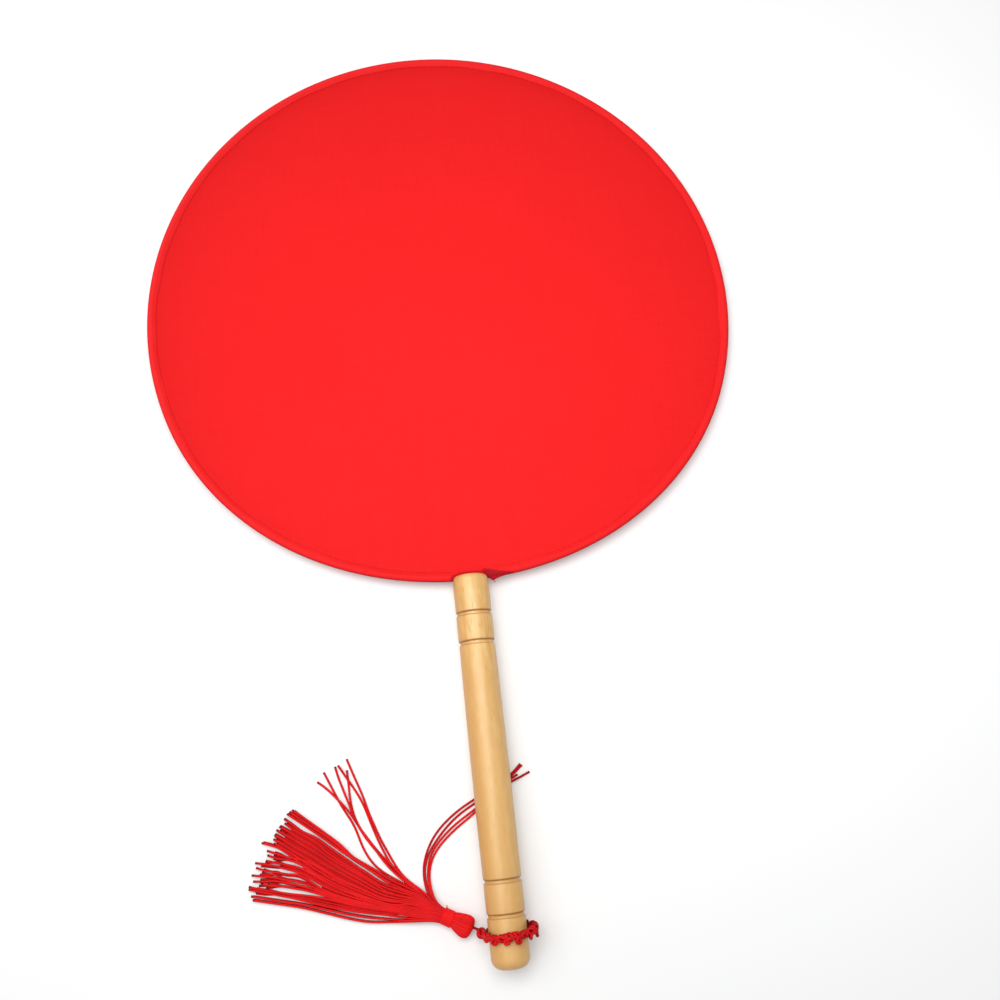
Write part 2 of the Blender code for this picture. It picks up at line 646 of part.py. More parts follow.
def build():
    """Make every piece in its place."""
    clear_scene()
    collar_points = plait_route()
    lean = resting_lean(collar_points)
    far_rim = DISC_RADIUS - FOLD_OUTER_RADIUS
    middle = ((-BUTT_END - far_rim) * math.cos(lean) - FOLD_OUTER_RADIUS) * HALF
    lift = FOLD_OUTER_RADIUS + far_rim * math.sin(lean) + REST_GAP
    fan = Matrix.Translation((0.0, middle, lift)) @ Matrix.Rotation(-lean, 4, "X")
    fan_frame = empty("fan_frame", None, fan)

    handle(fan_frame)
    glue_plug(fan_frame)
    tube("hoop_wire", hoop_route(), WIRE_DIAMETER, fan_frame, STEEL, metallic=1.0)
    cloth("front_cloth", 1, fan_frame)
    cloth("back_cloth", -1, fan_frame)

    collar = Matrix.Translation((0.0, COLLAR_PLACE, 0.0)) @ Matrix.Rotation(COLLAR_TILT, 4, "X")
    collar_frame = empty("collar_frame", fan_frame, collar)
    tube("collar_braid", collar_points, COLLAR_CORD_DIAMETER, collar_frame, RED_CORD, closed=True)

    away = COLLAR_OUTER_RADIUS + CLEARANCE + KNOT_OUTER_RADIUS - KNOT_SINK
    below = Vector((-math.cos(KNOT_BELOW_LEVEL), 0.0, -math.sin(KNOT_BELOW_LEVEL)))
    pivot = fan @ collar @ (below * away)
    slope = math.asin((pivot.z - NECK_DIAMETER * HALF - CLEARANCE) / NECK_END)
    heading = Matrix.Rotation(TASSEL_HEADING, 4, "Z")
    pivot_frame = empty("pivot_frame", None, Matrix.Translation(pivot) @ heading)
    axis = Matrix.Rotation(slope, 4, "Y") @ Matrix.Rotation(math.pi * HALF, 4, "Y")
    axis_frame = empty("tassel_axis_frame", pivot_frame, axis)
    tube("hanging_knot", knot_route(), KNOT_CORD_DIAMETER, pivot_frame, RED_CORD, closed=True)

    cord_end = HEAD_START + TASSEL_CORD_DEPTH
    cord_steps = LOOSE_STEPS // 4
    cord = [Vector((0.0, 0.0, HEAD_START + (cord_end - HEAD_START) * step / cord_steps))
            for step in range(cord_steps + 1)]
    tube("hanging_cord", cord, TASSEL_CORD_DIAMETER, axis_frame, RED_CORD, sides_level=2)

    head_radius = HEAD_DIAMETER * HALF
    neck_radius = NECK_DIAMETER * HALF
    stem_radius = neck_radius - NECK_WALL - CLEARANCE
    cord_bore = TASSEL_CORD_DIAMETER * HALF + CLEARANCE
    profile = [(head_radius * wide, HEAD_START + HEAD_LENGTH * along)
               for along, wide in HEAD_SHARES]
    profile += [(stem_radius, NECK_START), (stem_radius, NECK_END)]
    profile += [(0.0, NECK_END), (0.0, cord_end + CLEARANCE), (cord_bore, cord_end + CLEARANCE)]
    profile.append((cord_bore, HEAD_START))
    head_profile = profile[-3:] + profile[:-3]
    turned("tassel_head", head_profile, HEAD_SIDES, axis_frame, RED_CORD, Matrix())

    inner = neck_radius - NECK_WALL
    start = NECK_START + CLEARANCE
    band = [(inner, start), (inner, NECK_END), (neck_radius - NECK_WALL * HALF, NECK_END),
            (neck_radius, NECK_END - NECK_WALL), (neck_radius, start + NECK_WALL),
            (neck_radius - NECK_WALL * HALF, start)]
    turned("neck_binding", band, HEAD_SIDES, axis_frame, RED_CORD, Matrix())

    neck_end = pivot + (heading @ Vector((NECK_END * math.cos(slope), 0.0, 0.0)))
    neck_height = pivot.z - NECK_END * math.sin(slope)
    skirt = Matrix.Translation((neck_end.x, neck_end.y, 0.0))
    skirt_frame = empty("skirt_frame", None, skirt @ Matrix.Rotation(SKIRT_HEADING, 4, "Z"))
    for layer in range(len(LAYER_OFFSET_SHARES)):
        skirt_layer(layer, neck_height, skirt_frame)

    for number, route in enumerate(STRAY_ROUTE_SHARES, 1):
        loose_strand("stray_strand_%d" % number, route, STRAY_HUMP_SHARES.get(number), skirt_frame)
    for number, route in enumerate(UNDER_ROUTE_SHARES, 1):
        loose_strand("under_strand_%d" % number, route, None, skirt_frame)

    print("lean in degrees", math.degrees(lean), "middle", middle, "lift", lift)
    print("pivot", tuple(pivot), "slope in degrees", math.degrees(slope))
    print("neck end", tuple(neck_end), "neck height", neck_height)


build()
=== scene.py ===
import random
from math import asin, atan2, cos, exp, hypot, pi, radians, sin, sqrt, tau

import bmesh
import bpy
from mathutils import Matrix, Vector


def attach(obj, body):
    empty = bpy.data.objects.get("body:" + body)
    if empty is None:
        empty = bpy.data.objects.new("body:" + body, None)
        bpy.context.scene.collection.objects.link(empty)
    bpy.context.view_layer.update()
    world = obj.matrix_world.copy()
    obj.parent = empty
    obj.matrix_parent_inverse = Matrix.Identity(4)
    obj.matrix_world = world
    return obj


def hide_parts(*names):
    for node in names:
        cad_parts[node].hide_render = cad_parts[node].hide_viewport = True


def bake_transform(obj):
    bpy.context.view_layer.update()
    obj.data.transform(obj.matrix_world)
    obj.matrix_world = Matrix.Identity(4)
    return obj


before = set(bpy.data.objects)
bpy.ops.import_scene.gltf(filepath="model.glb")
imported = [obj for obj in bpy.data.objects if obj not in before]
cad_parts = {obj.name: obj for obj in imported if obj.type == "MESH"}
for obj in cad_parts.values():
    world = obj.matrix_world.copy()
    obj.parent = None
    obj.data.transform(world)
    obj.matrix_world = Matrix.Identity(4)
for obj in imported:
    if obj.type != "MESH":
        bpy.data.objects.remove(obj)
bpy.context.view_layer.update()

chance = random.Random(7)

# ---- sizes, in metres
DISC_RADIUS = 0.125
DRAWN_IN = 0.0062
DRAWN_IN_HALF_TURN = radians(70)
RIM_RADIUS = 0.00165
CLOTH_THICKNESS = 0.00035
FLAT_HEIGHT = 0.0005
SEAM_INSET = 0.0037

HANDLE_TOP = -0.1168
SLOT_FLOOR = -0.1191
BUTT_END = -0.2655
HANDLE_LENGTH = HANDLE_TOP - BUTT_END
BUTT_RADIUS = 0.0073
SHAFT_RADIUS = 0.00745
SHAFT_TOP_RADIUS = 0.0071
UPPER_RADIUS = 0.0072
TOP_RADIUS = 0.00715
GROOVES = (0.019, 0.0313, 0.12125, 0.1329)
GROOVE_FLOOR = 0.0009
GROOVE_SHOULDER = 0.0009
GROOVE_DEPTH = 0.0006
BUTT_ROUNDING = 0.0039
TOP_ROUNDING = 0.002
BORE_RADIUS = 0.0036
BORE_DEPTH = 0.022
HANDLE_SIDES = 96
CLOTH_TURNS = 480
STITCHES = 300

COLLAR_PLACE = -0.2525
COLLAR_TILT = radians(8)
PIVOT = Vector((-0.010739, -0.1814392, 0.0042634))
TASSEL_HEADING = radians(151.2)
SKIRT_HEADING = radians(155.2)
HEAD_START = 0.002275
HEAD_LENGTH = 0.0081
HEAD_RADIUS = 0.0034
HEAD_COVER = 1.03 * HEAD_LENGTH
NECK_START = HEAD_START + HEAD_LENGTH
NECK_END = NECK_START + 0.0042
NECK_RADIUS = 0.00275
SKIRT_LENGTH = 0.072
LEVEL_RISE = 0.00072
HUMP_RISE = 0.00095
STRAND_RADIUS = 0.00045
STRAND_PITCH = 0.0013
THREAD_PITCH = 0.00034
# painted shade colour for the seam's crease, the fold at the rim's edge and the cloth by the
# handle's top
SHADE_RED = (0.3, 0.004, 0.008)
REST_GAP = 0.00002
TABLE_HEIGHT = STRAND_RADIUS + REST_GAP
NECK_GAP = 0.0003
FLOOR_REACH = 3.0

FAN = (Matrix.Translation((0.0, 0.07022902425280596, 0.004666555962274674))
       @ Matrix.Rotation(radians(-1.3920300081132166), 4, "X"))
HANDLE = FAN @ Matrix.Translation((0.0, BUTT_END, 0.0)) @ Matrix.Rotation(-pi / 2, 4, "X")
COLLAR = (FAN @ Matrix.Translation((0.0, COLLAR_PLACE, 0.0))
          @ Matrix.Rotation(COLLAR_TILT, 4, "X"))
SLOPE = asin((PIVOT.z - NECK_RADIUS - NECK_GAP) / NECK_END)
HEADING = Matrix.Rotation(TASSEL_HEADING, 4, "Z")
KNOT = Matrix.Translation(PIVOT) @ HEADING
AXIS = KNOT @ Matrix.Rotation(SLOPE, 4, "Y") @ Matrix.Rotation(pi / 2, 4, "Y")
NECK_HEIGHT = PIVOT.z - NECK_END * sin(SLOPE)
NECK_PLACE = PIVOT + HEADING @ Vector((NECK_END * cos(SLOPE), 0.0, 0.0))
SKIRT = (Matrix.Translation((NECK_PLACE.x, NECK_PLACE.y, 0.0))
         @ Matrix.Rotation(SKIRT_HEADING, 4, "Z"))

# ---- camera and light
CAMERA = Matrix((
    (0.99273, 0.09684, -0.07147, -0.01592827),
    (-0.11049, 0.96874, -0.2221, -0.11469071),
    (0.04773, 0.22838, 0.9724, 0.43731399),
    (0.0, 0.0, 0.0, 1.0),
))


def placed(name, data):
    """A new object, linked to the scene."""
    made = bpy.data.objects.new(name, data)
    bpy.context.collection.objects.link(made)
    return made


lens = bpy.data.cameras.new("camera")
lens.sensor_width = 36.0
lens.lens = 38.592
lens.clip_start = 0.01
lens.clip_end = 20.0
camera = placed("camera", lens)
camera.matrix_world = CAMERA
bpy.context.scene.camera = camera
bpy.context.scene.view_settings.view_transform = "Standard"


def lamp(name, place, size, watts):
    """A square soft lamp that shines from a place towards the middle of the fan."""
    data = bpy.data.lights.new(name, "AREA")
    data.size = size
    data.energy = watts
    made = placed(name, data)
    made.rotation_euler = (-Vector(place)).to_track_quat("-Z", "Y").to_euler()
    made.location = place
    made.visible_camera = False


lamp("room_lamp", (-0.015, -0.01, 0.42), 0.24, 0.98)
lamp("window_light", (-0.58, 0.16, 1.05), 0.8, 5.6)
world = bpy.data.worlds.new("room")
world.use_nodes = True
room = world.node_tree.nodes["Background"]
room.inputs["Color"].default_value = (1.0, 1.0, 1.0, 1.0)
room.inputs["Strength"].default_value = 0.41
bpy.context.scene.world = world


# ---- materials
class Look:
    """One node material under construction."""

    def __init__(self, name, roughness=0.5, **sockets):
        self.material = bpy.data.materials.new(name)
        self.material.use_nodes = True
        self.tree = self.material.node_tree
        self.set(Roughness=roughness, **sockets)

    def set(self, **sockets):
        """Give the shader's sockets numbers or other nodes' outputs."""
        shader = self.tree.nodes["Principled BSDF"]
        for socket, value in sockets.items():
            self.feed(shader.inputs[socket.replace("_", " ")], value)
        return self.material

    def feed(self, socket, value):
        if isinstance(value, bpy.types.NodeSocket):
            self.tree.links.new(value, socket)
        else:
            socket.default_value = value

    def node(self, kind, inputs={}, **settings):
        """A new node with its settings, its inputs fed with numbers or other nodes' outputs."""
        made = self.tree.nodes.new("ShaderNode" + kind)
        for key, value in settings.items():
            setattr(made, key, value)
        for key, value in inputs.items():
            self.feed(made.inputs[key], value)
        return made

    def maths(self, operation, *values):
        return self.node("Math", dict(enumerate(values)), operation=operation).outputs[0]

    def place(self, scale=(1.0, 1.0, 1.0), offset=(0.0, 0.0, 0.0)):
        """Object coordinates, stretched by a scale and moved by an offset."""
        coordinates = self.node("TexCoord").outputs["Object"]
        return self.node("Mapping", {"Vector": coordinates, "Scale": scale,
                                     "Location": offset}).outputs[0]

    def axes(self, where):
        """The three coordinates of a place."""
        return self.node("SeparateXYZ", {0: where}).outputs

    def noise(self, where, scale, detail=2.0, roughness=0.5):
        return self.node("TexNoise", {"Vector": where, "Scale": scale, "Detail": detail,
                                      "Roughness": roughness}).outputs["Fac"]

    def span(self, value, low, high, to_low=0.0, to_high=1.0):
        """A value brought from one range to another."""
        return self.node("MapRange", {"Value": value, "From Min": low, "From Max": high,
                                      "To Min": to_low, "To Max": to_high}).outputs["Result"]

    def bump(self, height, strength, distance, below=None):
        made = self.node("Bump", {"Strength": strength, "Distance": distance, "Height": height})
        if below is not None:
            self.feed(made.inputs["Normal"], below)
        return made.outputs["Normal"]

    def attribute(self, name):
        return self.node("Attribute", attribute_name=name).outputs["Fac"]

    def mix(self, share, first, second):
        first, second = ((*value, 1.0) if isinstance(value, tuple) else value
                         for value in (first, second))
        return self.node("Mix", {0: share, 6: first, 7: second}, data_type="RGBA").outputs[2]

    def layered(self, colour, *rows):
        """A colour with tints laid over it, each by its share."""
        for share, tint in rows:
            colour = self.mix(share, colour, tint)
        return colour


def darker(colour, share):
    return tuple(part * share for part in colour)


def cloth_look(name, bright, deep):
    """Thin plain-woven cloth with a faint sheen; painted shade darkens the crease at the seam, the
    fold at the rim's edge, the inside of the slit and the cloth by the handle's top, painted light
    brightens the rim band, and a painted pool of light leaves the cloth darker towards the rim.
    """
    look = Look(name, 0.6, Specular_IOR_Level=0.06, Sheen_Weight=0.03, Sheen_Roughness=0.45,
                Sheen_Tint=(1.0, 0.12, 0.1, 1.0))
    flat = look.place()
    across, along = look.axes(flat)[:2]
    warp, weft = (look.maths("SINE", look.maths("MULTIPLY", axis, tau / THREAD_PITCH))
                  for axis in (across, along))
    weave = look.maths("MULTIPLY", warp, weft)
    threads = look.maths("ADD", *(look.noise(look.place(scale), 900.0)
                                  for scale in ((1.0, 0.06, 1.0), (0.06, 1.0, 1.0))))
    # a painted pool of light near the middle of the disc: the cloth darkens away from it
    away = look.node("VectorMath", {0: look.place(offset=(-0.012, 0.01, 0.0))},
                     operation="LENGTH")
    beside = look.maths("ABSOLUTE", across)
    bow = look.maths("POWER", look.span(beside, 0.0, 0.0076), 2.0)
    past_top = look.maths("ADD", along, look.maths("MULTIPLY", bow, 0.0013))
    shaded = look.maths("MULTIPLY", look.span(past_top, -0.1147, -0.1156, 0.0, 0.7),
                        look.span(beside, 0.0084, 0.0072))
    colour = look.layered(
        deep,
        (look.span(look.noise(flat, 13.0, 3.0), 0.3, 0.7), bright),
        (look.span(threads, 0.75, 1.25, 0.0, 0.15), darker(deep, 0.75)),
        (look.span(weave, -1.0, 1.0, 0.0, 0.12), darker(deep, 0.7)),
        (look.span(away.outputs["Value"], 0.03, 0.13, 0.0, 0.6), darker(deep, 0.82)),
        (look.attribute("shade"), darker(deep, 0.6)),
        # painted light on the rim band
        (look.attribute("rim_band_light"), (0.88, 0.024, 0.026)),
        # painted shade in the seam's crease and at the fold over the rim
        (look.attribute("crease"), SHADE_RED),
        # painted shade inside the open slit
        (look.attribute("inside"), (0.4, 0.009, 0.015)),
        (shaded, SHADE_RED))
    soft = look.bump(look.noise(flat, 42.0, 3.0), 0.35, 0.0012)
    grain = look.bump(threads, 0.3, 0.0001, soft)
    fine = look.bump(weave, 0.35, 0.00004, grain)
    rough = look.span(threads, 0.7, 1.3, 0.55, 0.68)
    return look.set(Base_Color=colour, Normal=fine, Roughness=rough)


def wood_look():
    """Pale close-grained wood, thinly varnished: soft streaks, faint lines and a few flecks."""
    look = Look("pale_wood", 0.4, Coat_Weight=0.12, Coat_Roughness=0.3)
    lines = look.noise(look.place((1.0, 1.0, 0.03)), 1300.0, 3.0, 0.6)
    flecks = look.noise(look.place((1.0, 1.0, 0.22)), 1100.0, 1.0)
    broad = look.noise(look.place((1.0, 1.0, 0.16)), 120.0, 3.0)
    streaks = look.noise(look.place((1.0, 1.0, 0.06)), 330.0)
    pale = look.noise(look.place((1.0, 1.0, 0.3)), 430.0)
    across, _, along = look.axes(look.place())
    colour = (0.86, 0.565, 0.225)
    for value, low, high, most, tint in (
            (broad, 0.32, 0.68, 1.0, (0.77, 0.44, 0.135)),
            (streaks, 0.42, 0.72, 0.7, (0.7, 0.375, 0.11)),
            (lines, 0.42, 0.72, 0.2, (0.55, 0.27, 0.08)),
            (flecks, 0.63, 0.74, 0.4, (0.42, 0.19, 0.055)),
            (pale, 0.5, 0.68, 0.4, (0.93, 0.67, 0.31)),
            # painted shade: the handle is darker below its top bead and more so towards the butt,
            # where the light falls off
            (along, 0.1, 0.0, 0.4, (0.68, 0.38, 0.13)),
            (along, 0.124, 0.108, 0.55, (0.7, 0.4, 0.135)),
            # painted shade on the left side of the handle
            (across, -0.0015, -0.0068, 0.7, (0.62, 0.3, 0.08))):
        colour = look.mix(look.span(value, low, high, 0.0, most), colour, tint)
    # painted shade in the grooves and the bore; the end faces are a little darker
    colour = look.mix(look.attribute("recess_shade_and_dark_ends"), colour, (0.36, 0.14, 0.026))
    grain = look.bump(lines, 0.3, 0.00006)
    pits = look.bump(look.span(flecks, 0.64, 0.74, 1.0, 0.0), 0.4, 0.00004, grain)
    rough = look.span(look.noise(look.place(), 300.0), 0.3, 0.7, 0.34, 0.48)
    return look.set(Base_Color=colour, Normal=pits, Roughness=rough)


def yarn_look(name, bright, deep, plies=2.0, twisted=0.5):
    """Twisted shiny yarn: UV runs along in twists and once around; cut ends are dark."""
    look = Look(name, 0.45, Specular_IOR_Level=0.09, Sheen_Weight=0.02, Sheen_Roughness=0.35,
                Sheen_Tint=(1.0, 0.15, 0.13, 1.0))
    lengthwise, round_it = look.axes(look.node("UVMap", uv_map="UVMap").outputs[0])[:2]
    turned = look.maths("ADD", look.maths("MULTIPLY", round_it, plies), lengthwise)
    twist = look.maths("SINE", look.maths("MULTIPLY", turned, tau))
    stretched = look.node("CombineXYZ", {0: look.maths("MULTIPLY", lengthwise, 2.0),
                                         1: look.maths("MULTIPLY", turned, 9.0)})
    fibres = look.noise(stretched.outputs[0], 3.0)
    colour = look.layered(
        bright,
        (look.span(twist, -1.0, 0.6, twisted, 0.0), deep),
        (look.span(fibres, 0.45, 0.75, 0.0, 0.35), deep),
        (look.span(look.noise(look.place(), 130.0), 0.35, 0.7, 0.0, 0.4), deep),
        # painted shade: strands lying under others, and the sides that face down or inward
        (look.attribute("yarn_shade"), darker(deep, 0.5)),
        (look.attribute("cut"), (0.1, 0.003, 0.005)))
    ply = look.bump(twist, 0.6 * twisted, 0.00012)
    hair = look.bump(fibres, 0.35, 0.00005, ply)
    rough = look.span(fibres, 0.3, 0.7, 0.33, 0.48)
    return look.set(Base_Color=colour, Normal=hair, Roughness=rough)


def steel_look():
    """Drawn steel wire with fine lengthwise marks."""
    look = Look("drawn_steel", 0.35, Metallic=1.0)
    marks = look.noise(look.place(), 1400.0, 3.0)
    colour = look.mix(look.span(marks, 0.35, 0.7), (0.62, 0.62, 0.64), (0.42, 0.42, 0.44))
    return look.set(Base_Color=colour, Roughness=look.span(marks, 0.3, 0.7, 0.25, 0.45),
                    Normal=look.bump(marks, 0.2, 0.00003))


def glue_look():
    """Dried yellowish glue with a lumpy surface."""
    look = Look("dried_glue", 0.4, Subsurface_Weight=0.1)
    lumps = look.noise(look.place(), 500.0, 3.0)
    colour = look.mix(look.span(lumps, 0.3, 0.7), (0.78, 0.66, 0.4), (0.6, 0.46, 0.22))
    return look.set(Base_Color=colour, Normal=look.bump(lumps, 0.5, 0.0003))


front_red = cloth_look("front_red", (0.96, 0.0165, 0.0175), (0.92, 0.015, 0.0165))
back_red = cloth_look("back_red", (0.94, 0.0165, 0.0175), (0.88, 0.015, 0.0165))
wood = wood_look()
thread_red = yarn_look("sewing_thread", (0.66, 0.01, 0.013), (0.4, 0.006, 0.009))
skirt_red = yarn_look("tassel_yarn", (0.86, 0.011, 0.013), (0.5, 0.005, 0.007), 2.0, 0.3)
cord_red = yarn_look("collar_cord", (0.8, 0.01, 0.012), (0.36, 0.003, 0.006), 3.0, 0.6)
head_red = yarn_look("tassel_head_yarn", (0.86, 0.011, 0.013), (0.55, 0.006, 0.008), 2.0, 0.25)
band_red = yarn_look("binding_thread", (0.93, 0.016, 0.018), (0.72, 0.01, 0.012), 2.0, 0.25)


# ---- shapes
def piece(name, shape, matrix, look, body, node=None):
    """Put a mesh or yarn in its place, let it ride on a body and stand for a node."""
    mesh = shape.mesh(name) if isinstance(shape, Yarn) else shape
    made = placed(name, mesh)
    made.matrix_world = matrix
    mesh.materials.append(look)
    mesh.shade_smooth()
    if body:
        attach(made, body)
    if node:
        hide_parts(node)
    return made


def between(stations, values, at):
    """Straight-line value at a place in a table."""
    for low in range(len(stations) - 2):
        if at <= stations[low + 1]:
            break
    else:
        low = len(stations) - 2
    share = (at - stations[low]) / (stations[low + 1] - stations[low])
    return values[low] + (values[low + 1] - values[low]) * share


def even(count):
    """Shares from 0 to 1 in even steps."""
    return [step / count for step in range(count + 1)]


def once_round(count):
    """Even angles round a circle."""
    return [tau * step / count for step in range(count)]


def straight(start, length, steps):
    """Points along the third axis."""
    return [Vector((0.0, 0.0, start + length * step / steps)) for step in range(steps + 1)]


def on_ring(radius, turn, height):
    """A point at a radius round the third axis."""
    return Vector((radius * cos(turn), radius * sin(turn), height))


def eased(share):
    """Smooth step from 0 to 1."""
    share = min(max(share, 0.0), 1.0)
    return share * share * (3 - 2 * share)


def distances(points):
    """How far along the route each point lies."""
    travelled = [0.0]
    for a, b in zip(points, points[1:]):
        travelled.append(travelled[-1] + (b - a).length)
    return travelled


def smooth_route(points, steps):
    """Points at even steps along a smooth curve through the given ones."""
    padded = [points[0] * 2 - points[1], *points, points[-1] * 2 - points[-2]]
    fine = []
    for index in range(len(points) - 1):
        before, start, end, after = padded[index:index + 4]
        for t in even(10)[:-1]:
            fine.append(
                (start * 2 + (end - before) * t
                 + (before * 2 - start * 5 + end * 4 - after) * t ** 2
                 + (start * 3 - before - end * 3 + after) * t ** 3) * 0.5
            )
    fine.append(points[-1])
    travelled = distances(fine)
    result = []
    place = 0
    for step in range(steps + 1):
        goal = travelled[-1] * step / steps
        while place < len(fine) - 2 and travelled[place + 1] < goal:
            place += 1
        gap = travelled[place + 1] - travelled[place]
        share = (goal - travelled[place]) / gap if gap else 0
        result.append(fine[place].lerp(fine[place + 1], share))
    return result


def strip(low, high, count):
    """Faces between two closed rings of points."""
    return [(low + step, low + (step + 1) % count, high + (step + 1) % count, high + step)
            for step in range(count)]


def store(mesh, kind, values):
    """Store a number at every point for the materials."""
    mesh.attributes.new(kind, "FLOAT", "POINT").data.foreach_set("value", values)


class Yarn:
    """Round strands laid into one mesh, with UVs that run along in twists and once around."""

    def __init__(self):
        self.vertices = []
        self.faces = []
        self.uvs = []
        self.cuts = []
        self.yarn_shade = []

    def lay(self, points, radius, sides=8, pitch=0.0022, closed=False, lobes=0, depth=0.0,
            cut_length=0.0, yarn_shade=0.0, edge=0.0, outward=None):
        """Lay one strand; radius and buried, its painted shade, are numbers or functions of the
        share along.

        Edge paints shade on the sides that face away from outward(point), or from straight up.
        """
        count = len(points)
        hidden = yarn_shade if callable(yarn_shade) else (lambda share: yarn_shade)
        width = radius if callable(radius) else (lambda share: radius)
        travelled = distances(points)
        total = travelled[-1] + ((points[0] - points[-1]).length if closed else 0.0)
        phase = chance.random()
        base = len(self.vertices)
        tangents = []
        for index in range(count):
            before = points[index - 1] if closed or index else points[0]
            after = points[(index + 1) % count] if closed or index < count - 1 else points[-1]
            tangents.append((after - before).normalized())
        across = Vector((0.0, 0.0, 1.0)).cross(tangents[0])
        if across.length < 0.1:
            across = Vector((0.0, 1.0, 0.0)).cross(tangents[0])
        across.normalize()
        frames = []
        for tangent in tangents:
            across = (across - tangent * across.dot(tangent)).normalized()
            frames.append((across.copy(), tangent.cross(across)))
        twist_back = 0.0
        if closed:
            last = (frames[-1][0] - tangents[0] * frames[-1][0].dot(tangents[0])).normalized()
            first = frames[0]
            twist_back = -atan2(last.dot(first[1]), last.dot(first[0]))
        turns = round(total / pitch) if closed else total / pitch
        for index, point in enumerate(points):
            share = travelled[index] / total
            size = width(share)
            sideways, upward = frames[index]
            for side in range(sides):
                turn = tau * side / sides + twist_back * share
                swell = 1.0
                if lobes:
                    ridge = abs(cos(lobes / 2 * turn - pi * turns * share))
                    swell += depth * (ridge - 0.6)
                self.vertices.append(
                    point + sideways * (size * swell * cos(turn))
                    + upward * (size * swell * sin(turn))
                )
                left = total - travelled[index]
                self.cuts.append(max(0.0, 1.0 - left / cut_length) if cut_length else 0.0)
                facing = sideways * cos(turn) + upward * sin(turn)
                rise = facing.dot(outward(point)) if outward else facing.z
                self.yarn_shade.append(max(hidden(share), edge * min(1.0, max(0.0, 1 - rise / 0.72))))
        rings = count if closed else count - 1
        for ring in range(rings):
            low = base + ring * sides
            high = base + (ring + 1) % count * sides
            here = turns * travelled[ring] / total + phase
            there = turns * (travelled[ring + 1] / total if ring + 1 < count else 1.0) + phase
            self.faces += strip(low, high, sides)
            for side in range(sides):
                v, w = side / sides, (side + 1) / sides
                self.uvs += [(here, v), (here, w), (there, w), (there, v)]
        if not closed:
            for end, order in ((0, range(sides - 1, -1, -1)), (count - 1, range(sides))):
                self.faces.append(tuple(base + end * sides + side for side in order))
                self.uvs += [(0.0, side / sides) for side in order]

    def mesh(self, name):
        made = bpy.data.meshes.new(name)
        made.from_pydata(self.vertices, [], self.faces)
        layer = made.uv_layers.new(name="UVMap")
        for loop, uv in zip(layer.data, self.uvs):
            loop.uv = uv
        for kind, values in (("cut", self.cuts), ("yarn_shade", self.yarn_shade)):
            if any(values):
                store(made, kind, values)
        return made


def applied(target, *cutters):
    """The mesh of an object with cutters taken from it."""
    for cutter in cutters:
        change = target.modifiers.new("cut", "BOOLEAN")
        change.operation = "DIFFERENCE"
        change.solver = "EXACT"
        change.object = cutter
    ready = target.evaluated_get(bpy.context.evaluated_depsgraph_get())
    mesh = bpy.data.meshes.new_from_object(ready)
    for item in (target, *cutters):
        bpy.data.objects.remove(item, do_unlink=True)
    return mesh


def loose(name, vertices, faces):
    """A working object that is used up by applied()."""
    mesh = bpy.data.meshes.new(name)
    mesh.from_pydata(vertices, [], faces)
    shape = bmesh.new()
    shape.from_mesh(mesh)
    bmesh.ops.recalc_face_normals(shape, faces=shape.faces)
    shape.to_mesh(mesh)
    shape.free()
    return placed(name, mesh)


def groove(below, above, place):
    """A turned groove with round shoulders and a line of painted shade at each side of its floor.
    """
    points = []
    for side, radius in ((-1, below), (1, above)):
        shoulder = []
        for step in range(9):
            turn = pi / 2 * step / 8
            inward = GROOVE_FLOOR / 2 + GROOVE_SHOULDER * (1 - sin(turn))
            deep = 1 - cos(turn)
            # painted shade on the shoulders, stronger on the side towards the top
            dark = (exp(-((inward - 0.0007) / 0.0004) ** 2) if side > 0
                    else 0.6 * exp(-((inward - 0.00075) / 0.00022) ** 2))
            shoulder.append((radius - GROOVE_DEPTH * deep, place + side * inward, dark))
        middle = (radius - GROOVE_DEPTH, place + side * (GROOVE_FLOOR / 2 - 0.00012),
                  0.35 if side > 0 else 0.0)
        points += [*shoulder, middle] if side < 0 else [middle, *shoulder[::-1]]
    return points


def handle_profile():
    """The turned handle's side from butt to top, as (radius, height, mark) points; the mark is
    painted shade in the grooves and the bore, and makes the end faces a little darker.
    """
    points = [(0.0, 0.0, 0.1)]
    for step in range(11):
        turn = pi / 2 * step / 10
        points.append((BUTT_RADIUS - BUTT_ROUNDING * (1 - sin(turn)),
                       BUTT_ROUNDING * (1 - cos(turn)), 0.12 * cos(turn)))
    points += [(BUTT_RADIUS + 0.00004, height, 0.0) for height in (0.008, 0.0125)]
    points += groove(BUTT_RADIUS, BUTT_RADIUS, GROOVES[0])
    points.append((BUTT_RADIUS + 0.00006, (GROOVES[0] + GROOVES[1]) / 2, 0.0))
    points += groove(BUTT_RADIUS, BUTT_RADIUS, GROOVES[1])
    for share in even(12)[1:-1]:
        height = GROOVES[1] + (GROOVES[2] - GROOVES[1]) * share
        plain = between((0.0, 0.5, 1.0), (BUTT_RADIUS, SHAFT_RADIUS, SHAFT_TOP_RADIUS), share)
        points.append((plain + 0.00003 * sin(9 * share), height, 0.0))
    points += groove(SHAFT_TOP_RADIUS, UPPER_RADIUS, GROOVES[2])
    points.append((UPPER_RADIUS + 0.00005, (GROOVES[2] + GROOVES[3]) / 2, 0.0))
    points += groove(UPPER_RADIUS, TOP_RADIUS, GROOVES[3])
    points.append((TOP_RADIUS + 0.00003, 0.14, 0.0))
    for step in range(9):
        turn = pi / 2 * step / 8
        points.append((TOP_RADIUS - TOP_ROUNDING * (1 - cos(turn)),
                       HANDLE_LENGTH - TOP_ROUNDING * (1 - sin(turn)), 0.1 * sin(turn)))
    floor = SLOT_FLOOR - BORE_DEPTH - BUTT_END
    points += [(BORE_RADIUS, HANDLE_LENGTH, 0.3), (BORE_RADIUS, floor, 0.6), (0.0, floor, 0.6)]
    return points


